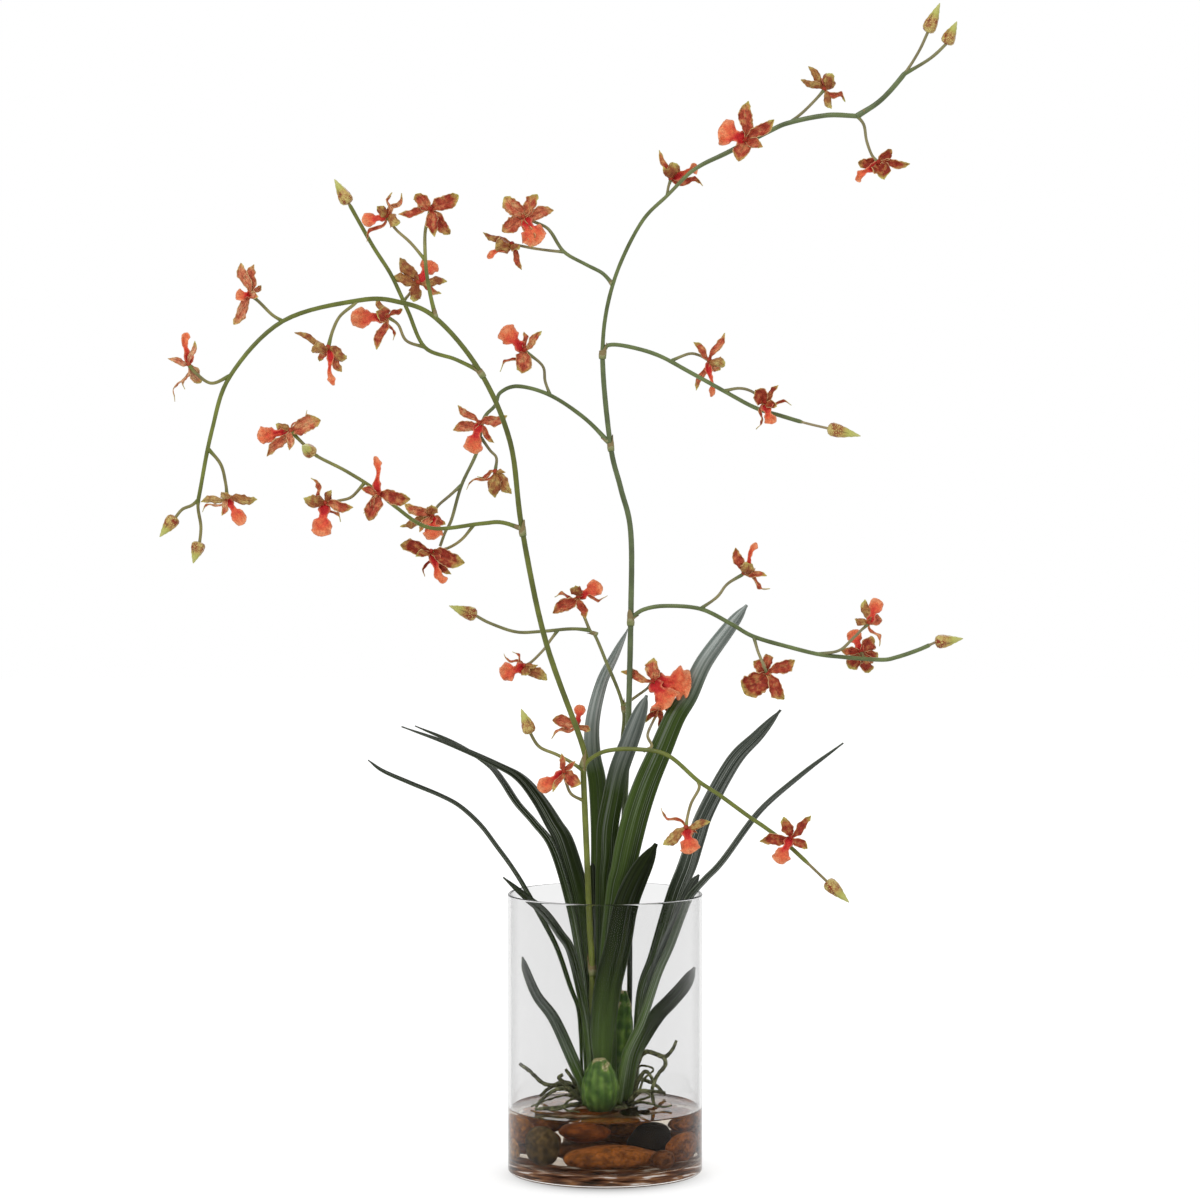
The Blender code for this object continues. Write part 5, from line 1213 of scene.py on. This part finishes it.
def addBlade(shape, centre, reach, width, kind, tone, chance):
    outline, cup, bow, ruffle, twist, sway = bladeKinds[kind]
    across0 = reach.cross(Vector((0, -1, 0))).normalized()
    face0 = across0.cross(reach).normalized()
    length = reach.length
    isLip, behind = float(kind in "LN"), float(kind in "BC")
    width *= 1 if isLip else petal["fullness"]
    start = math.radians(chance.uniform(-petal["lean"], petal["lean"]))
    turn = math.radians(twist) * chance.choice((-1, 1)) * chance.uniform(0.4, 1)
    bowed = length * bow * chance.uniform(0.5, 1.4)
    swayed = length * sway * chance.choice((-1, 1))
    hook = length * petal["hook"] * chance.uniform(-1, 1) if kind in "FRBT" else 0
    seed = chance.uniform(0, 90)
    tip = 0.0 if isLip else chance.uniform(0.35, 1)
    torn = petal["lipTorn"] if kind == "L" else 1
    waves = [(chance.uniform(0, 6.3), length * chance.uniform(0.26, 0.36)) for _ in range(2)]
    last, wide = petal["stations"], petal["across"]
    rows, half = [], []
    for i in range(last + 1):
        t = i / last
        angle = start + turn * t
        across = across0 * math.cos(angle) + face0 * math.sin(angle)
        face = face0 * math.cos(angle) - across0 * math.sin(angle)
        half.append(width / 2 * eased(outline, t))
        hooked = hook * max(t - petal["hookPast"], 0) ** 2 * petal["hookRise"]
        middle = centre + reach * t + face0 * (bowed * 4 * t * (1 - t) + hooked)
        middle += across0 * (swayed * math.sin(2.2 * math.pi * t))
        fade = math.sin(math.pi * min(t * 1.6, 1) / 2)
        row = []
        for j in range(wide + 1):
            v = 2 * j / wide - 1
            phase, count = waves[v > 0]
            # a scalloped, torn edge, and a ruffle that grows towards it
            tear = petal["torn"] * noise.noise(Vector((t * length * 0.3, v, seed)))
            tear += petal["frayed"] * math.sin(t * count * 5 + phase * 2)
            ragged = 1 + abs(v) ** 3 * fade * torn * tear
            rippled = math.sin(t * count * 2.6 + phase)
            rippled += noise.noise(Vector((t * length * 0.3, v, seed + 20)))
            lump = noise.noise(Vector((t * length * 0.25, v * half[-1] * 0.3, seed + 40)))
            lifted = half[-1] * (cup * (v * v - 0.3) + ruffle * rippled * abs(v) ** 2.5 * fade)
            lifted += fade * petal["lumps"] * lump - petal["crease"] * width * (1 - abs(v)) ** 2
            row.append(middle + across * (half[-1] * v * ragged) + face * lifted)
        rows.append(row)

    def values(i, j, back=behind):
        v = 2 * j / wide - 1
        return {"along": i / last, "edge": abs(v), "lip": isLip, "back": back, "tone": tone, "tip": tip,
                "lane": half[i] * v + seed, "reach": i / last * length}

    shape.addSheet(rows, petal["thickness"], values, lambda i, j: values(i, j, 1.0 - behind))


def addColumn(shape, centre, tone):
    # the short column at the middle of the flower, leaning out over the lip
    rings = []
    for i in range(column["stations"] + 1):
        t = i / column["stations"]
        radius = column["radius"] * math.sqrt(max(1 - (2 * t - 1) ** 2, 0.03)) * (1.1 - 0.35 * t)
        middle = centre + Vector((0, -4.6 * (t - 0.4), 1.4 * t))
        up = Vector((0, 0.3, 1)).normalized()
        rings.append(ringAround(middle, Vector((1, 0, 0)), up, radius, column["around"]))
    shape.addRings(rings, lambda i, k: {
        "along": 0.1, "edge": 0.4, "lip": 0.0 if i <= column["stations"] / 2 else 0.5, "back": 0.5,
        "tone": tone, "tip": 0.0, "lane": k, "reach": i})


def makeFlowers():
    material = petalPolyester()
    for number, (name, (code, tone, centre, blades)) in enumerate(flowers.items()):
        chance = random.Random(100 + number)
        shape = Shape("along", "edge", "lip", "back", "tone", "tip", "lane", "reach")
        for kind, (x, y, z, width) in zip(code, blades):
            addBlade(shape, Vector(centre), Vector((x, y, z)), width, kind,
                     tone + chance.uniform(-0.12, 0.12), chance)
        addColumn(shape, Vector(centre), tone)
        finishPiece(shape.toObject(name.replace("flower_", "bloom"), material), "petal_rust", name)
    print("flowers opened")


# Stage, lamps and camera

stage = {"side": 6.0, "world": 0.62, "reflected": 0.86, "roomThroughGlass": 1.15, "floorThroughGlass": 0.66}
lamps = {"keyLamp": ((-1.6, -2.2, 2.6), 1.6, 32), "fillLamp": ((2.0, -2.4, 1.5), 1.8, 11),
         "rimLamp": ((0.5, 1.9, 2.3), 1.4, 11)}  # place, width and power
view = {"place": (-0.004, -3.03, 0.579), "down": 2.5, "lens": 117, "sensor": 36}


def seenShare(tree, throughGlass):
    # how white a surface shows: wholly to the eye, a little less in reflections and through glass; a ray
    # that leaves glass counts as glossy too
    path = addNode(tree, "ShaderNodeLightPath").outputs
    lens = addNode(tree, "ShaderNodeMapRange", {
        "Value": path["Is Transmission Ray"], 1: 0.0, 2: 1.0, 3: stage["reflected"], 4: throughGlass})
    glossy, eye = path["Is Glossy Ray"], path["Is Camera Ray"]
    shown = addNode(tree, "ShaderNodeMath", {0: glossy, 1: lens.outputs[0]}, operation="MULTIPLY")
    seen = addNode(tree, "ShaderNodeMath", {0: eye, 1: shown.outputs[0]}, operation="MAXIMUM")
    return seen.outputs[0]


def whitePaper():
    # matt background paper: lit by the lamps for the object, but to the eye mostly its own white, so that
    # the shadow on it stays faint
    material, tree, shader = newMaterial("whiteSweep")
    tree.nodes.remove(shader)
    seen = seenShare(tree, stage["floorThroughGlass"])
    tint = addNode(tree, "ShaderNodeMix", {0: seen, 6: linear("#f0f0f0"), 7: linear("#959595")},
                   data_type="RGBA")
    paper = addNode(tree, "ShaderNodeBsdfDiffuse", {"Color": tint.outputs[2]})
    place = addNode(tree, "ShaderNodeTexCoord").outputs["Object"]
    # a painted contact shadow at the foot, centred a little to the front
    ahead = addNode(tree, "ShaderNodeVectorMath", {0: place, 1: (0, -0.018, 0)}, operation="DISTANCE")
    paintedShadow = addNode(tree, "ShaderNodeValToRGB", {"Fac": ahead.outputs["Value"]}, stops=[
        (0.056, 0.2), (0.064, 0.42), (0.073, 0.62), (0.085, 0.76), (0.13, 0.88), (0.6, 0.95)])
    # under the vase: a painted brown glow with bright painted glints, standing in for the light that comes
    # down through resin and stones
    away = addNode(tree, "ShaderNodeVectorMath", {0: place}, operation="LENGTH")
    cloud = addNode(tree, "ShaderNodeTexNoise", {"Vector": place, "Scale": 55.0, "Detail": 3.0})
    paintedUnderGlow = addNode(tree, "ShaderNodeValToRGB", {"Fac": cloud.outputs["Fac"]}, stops=[
        (0.36, "#120a06"), (0.48, "#6a4230"), (0.58, "#a8754c"), (0.64, "#fff6ee")])
    outside = addNode(tree, "ShaderNodeMapRange", {
        "Value": away.outputs["Value"], 1: 0.068, 2: 0.073, 3: 0.0, 4: 1.0})
    hue = addNode(tree, "ShaderNodeMix", {0: outside.outputs[0], 6: paintedUnderGlow.outputs[0], 7: linear("#ffffff")},
                  data_type="RGBA")
    lit = addNode(tree, "ShaderNodeMix", {0: outside.outputs[0], 2: 0.5, 3: paintedShadow.outputs[0]},
                  data_type="FLOAT")
    strength = addNode(tree, "ShaderNodeMath", {0: seen, 1: lit.outputs[0]}, operation="MULTIPLY")
    glow = addNode(tree, "ShaderNodeEmission", {"Color": hue.outputs[2], "Strength": strength.outputs[0]})
    both = addNode(tree, "ShaderNodeAddShader", {0: paper.outputs[0], 1: glow.outputs[0]})
    setInputs(tree, tree.nodes["Material Output"], {"Surface": both.outputs[0]})
    return material


def makeStage():
    side = stage["side"]
    mesh = bpy.data.meshes.new("floor")
    corners = [(-side, -side, 0), (side, -side, 0), (side, side, 0), (-side, side, 0)]
    mesh.from_pydata(corners, [], [(0, 1, 2, 3)])
    mesh.materials.append(whitePaper())
    floor = bpy.data.objects.new("floor", mesh)
    scene.collection.objects.link(floor)

    scene.world = bpy.data.worlds.new("whiteRoom")
    scene.world.use_nodes = True
    room = scene.world.node_tree
    room.nodes.clear()
    seen = seenShare(room, stage["roomThroughGlass"])
    strength = addNode(room, "ShaderNodeMath", {0: seen, 1: stage["world"]}, operation="MAXIMUM")
    white = addNode(room, "ShaderNodeBackground", {
        "Color": linear("#ffffff"), "Strength": strength.outputs[0]})
    addNode(room, "ShaderNodeOutputWorld", {"Surface": white.outputs[0]})

    for name, (place, size, power) in lamps.items():
        lamp = bpy.data.lights.new(name, "AREA")
        lamp.shape, lamp.size, lamp.energy = "DISK", size, power
        holder = bpy.data.objects.new(name, lamp)
        holder.location = place
        holder.rotation_euler = (Vector((0, 0, 0.4)) - Vector(place)).to_track_quat("-Z", "Y").to_euler()
        scene.collection.objects.link(holder)

    camera = bpy.data.cameras.new("camera")
    camera.lens, camera.sensor_width = view["lens"], view["sensor"]
    eye = bpy.data.objects.new("camera", camera)
    eye.location = view["place"]
    eye.rotation_euler = (math.radians(90 - view["down"]), 0, 0)
    scene.collection.objects.link(eye)
    scene.camera = eye
    scene.view_settings.view_transform = "Standard"
    # light turns many times inside a thick glass wall before it leaves it
    scene.cycles.max_bounces, scene.cycles.glossy_bounces, scene.cycles.transmission_bounces = 32, 24, 32
    print("stage lit")


makeVase()
makeFill()
makePebbles()
makeBulbs()
sweepRoutes = sweepTree()
makeRoots(sweepRoutes)
makeLeaves()
makeStems(sweepRoutes)
makeFlowers()
makeStage()
